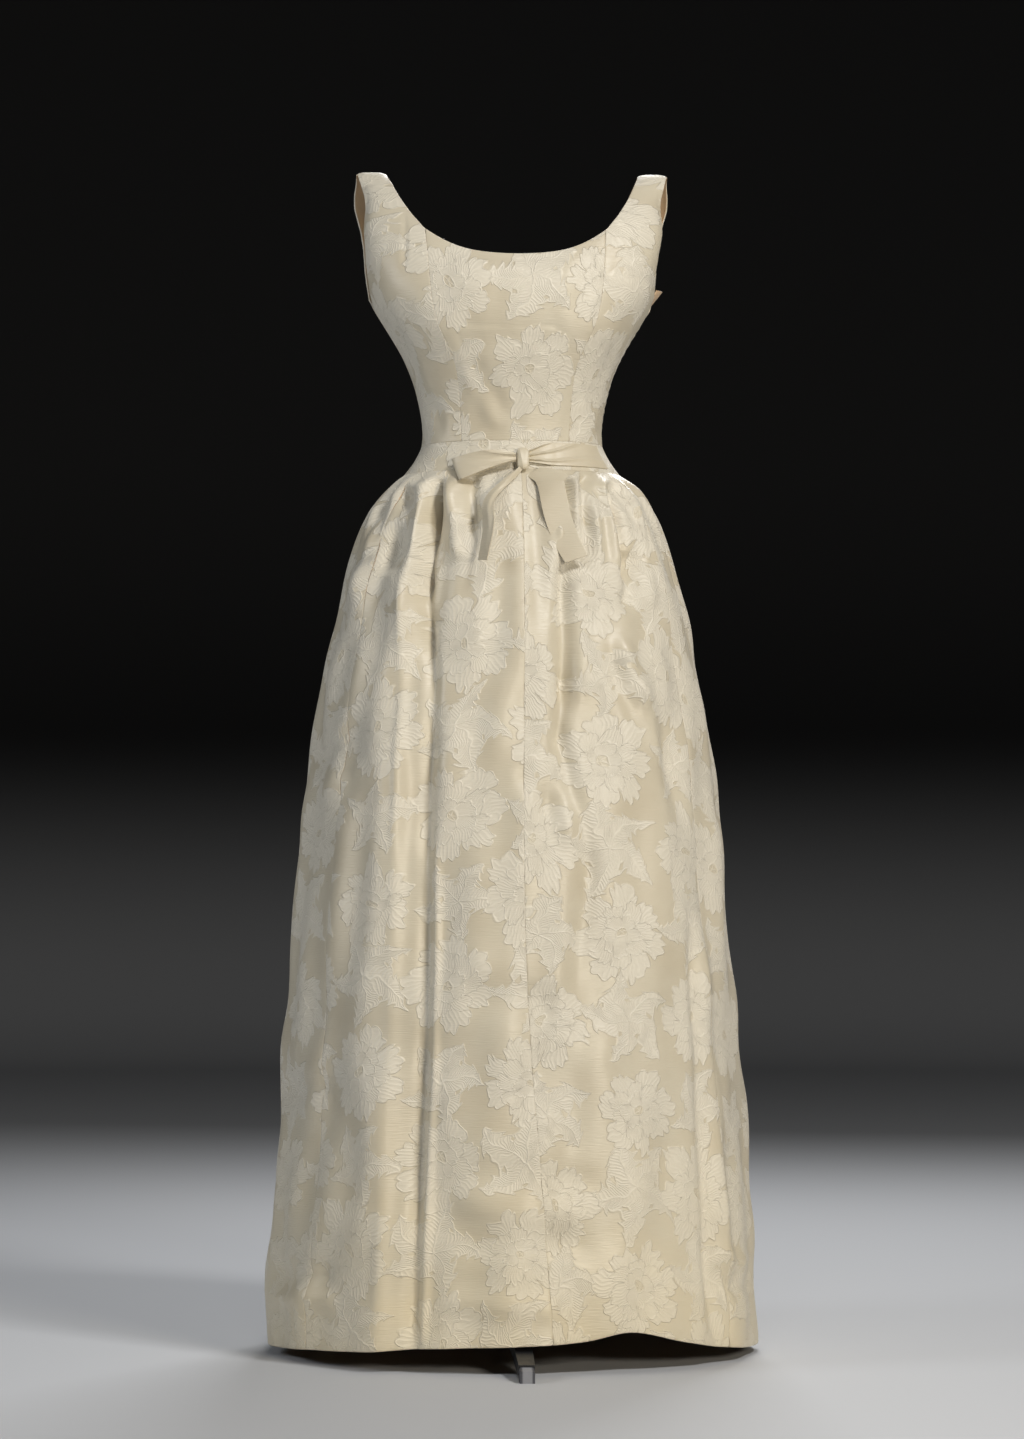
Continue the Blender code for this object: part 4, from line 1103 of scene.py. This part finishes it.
mesh = subdivided("side_placket", LEVELS, BODICE_RIM)
points = points_of(mesh)
flap = np.clip((points[:, 2] - FLAP_FROM) / FLAP_LONG, 0, 1) ** 2
flap *= np.clip((FLAP_DEEP - points[:, 1]) / FLAP_EASE, 0, 1)
turned_out = np.clip(points[:, 1] / FLAP_TURN, 0, 1)
points += flap[:, None] * FLAP_MOVE
points[:, 0] += flap * turned_out * FLAP_OUT
set_points(mesh, points)
ribbon_uv(mesh, points)
mesh.materials.append(lining_silk)
placket = make_piece("side_placket_silk", mesh)
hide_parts("side_placket")
print("placket faces:", len(mesh.polygons))

# %% [markdown]
# ## Form and stand
# The form is a moulded torso under cotton jersey, and the stand is black painted steel with grey
# moulded caps. All of them are kept as the frame has them and only get their finishes.

# %% Form
JERSEY, JERSEY_PALE = "#C9C0AE", "#D8D0C1"


def dress_nodes(starts, material):
    """Give the frame's nodes whose names start so one material."""
    for name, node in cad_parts.items():
        if name.startswith(starts):
            node.data.materials.clear()
            node.data.materials.append(material)


def jersey_material():
    """Cotton jersey: fine upright ribs of stitches, matt and slightly mottled."""
    made, tree, shader = new_material("cotton_jersey")
    place = add(tree, "ShaderNodeTexCoord").node.outputs["Object"]
    ribs = add(tree, "ShaderNodeTexWave", {"Vector": place, "Scale": 260.0, "Distortion": 1.0},
               bands_direction="X")
    mottle = add(tree, "ShaderNodeTexNoise", {"Vector": place, "Scale": 40.0, "Detail": 3.0})
    colour = add(tree, "ShaderNodeMix", {0: mottle, 6: linear(JERSEY), 7: linear(JERSEY_PALE)},
                 data_type="RGBA").node.outputs[2]
    bump = add(tree, "ShaderNodeBump", {"Height": ribs, "Distance": 0.0003, "Strength": 0.4})
    tree.links.new(colour, shader.inputs["Base Color"])
    tree.links.new(bump, shader.inputs["Normal"])
    shader.inputs["Roughness"].default_value = 0.85
    return made


dress_nodes("form", jersey_material())
print("form material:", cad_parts["form"].data.materials[0].name)

# %% Stand
STEEL_BLACK, CAP_GREY, CAP_PALE, CAP_HIGHLIGHT = "#111216", "#34363D", "#494B52", "#8E9096"
# the pale strip along the front cap's middle is a painted highlight, light caught on its sloping
# end
HIGHLIGHT_EDGE, HIGHLIGHT_CORE = 0.0065, 0.0045     # m to each side of the front cap's middle


def painted_steel():
    """Powder-coated steel: near black, satin, with fine orange peel."""
    made, tree, shader = new_material("black_powder_coated_steel")
    place = add(tree, "ShaderNodeTexCoord").node.outputs["Object"]
    peel = add(tree, "ShaderNodeTexNoise", {"Vector": place, "Scale": 700.0, "Detail": 2.0})
    worn = add(tree, "ShaderNodeTexNoise", {"Vector": place, "Scale": 60.0, "Detail": 4.0})
    rough = add(tree, "ShaderNodeMapRange", (worn, 0.3, 0.7, 0.40, 0.55))
    bump = add(tree, "ShaderNodeBump", {"Height": peel, "Distance": 0.0002, "Strength": 0.3})
    tree.links.new(rough, shader.inputs["Roughness"])
    tree.links.new(bump, shader.inputs["Normal"])
    shader.inputs["Base Color"].default_value = linear(STEEL_BLACK)
    return made


def moulded_cap():
    """Dark grey polypropylene with a moulded grain, and a painted highlight on the front cap."""
    made, tree, shader = new_material("grey_polypropylene")
    place = add(tree, "ShaderNodeTexCoord").node.outputs["Object"]
    grain = add(tree, "ShaderNodeTexNoise", {"Vector": place, "Scale": 900.0, "Detail": 2.0})
    colour = add(tree, "ShaderNodeMix", {0: grain, 6: linear(CAP_GREY), 7: linear(CAP_PALE)},
                 data_type="RGBA").node.outputs[2]
    # painted highlight: pale along the middle of the front cap, where x is near 0
    cap_highlight = add(tree, "ShaderNodeSeparateXYZ", (place,))
    cap_highlight = add(tree, MATH, (cap_highlight,), operation="ABSOLUTE")
    cap_highlight = add(tree, "ShaderNodeMapRange", (cap_highlight, HIGHLIGHT_EDGE, HIGHLIGHT_CORE, 0.0, 0.9))
    colour = add(tree, "ShaderNodeMix", {0: cap_highlight, 6: colour, 7: linear(CAP_HIGHLIGHT)},
                 data_type="RGBA").node.outputs[2]
    bump = add(tree, "ShaderNodeBump", {"Height": grain, "Distance": 0.0002, "Strength": 0.4})
    tree.links.new(colour, shader.inputs["Base Color"])
    tree.links.new(bump, shader.inputs["Normal"])
    shader.inputs["Roughness"].default_value = 0.55
    return made


dress_nodes(("pole", "hub", "leg_"), painted_steel())
dress_nodes("foot_", moulded_cap())
print("stand painted")
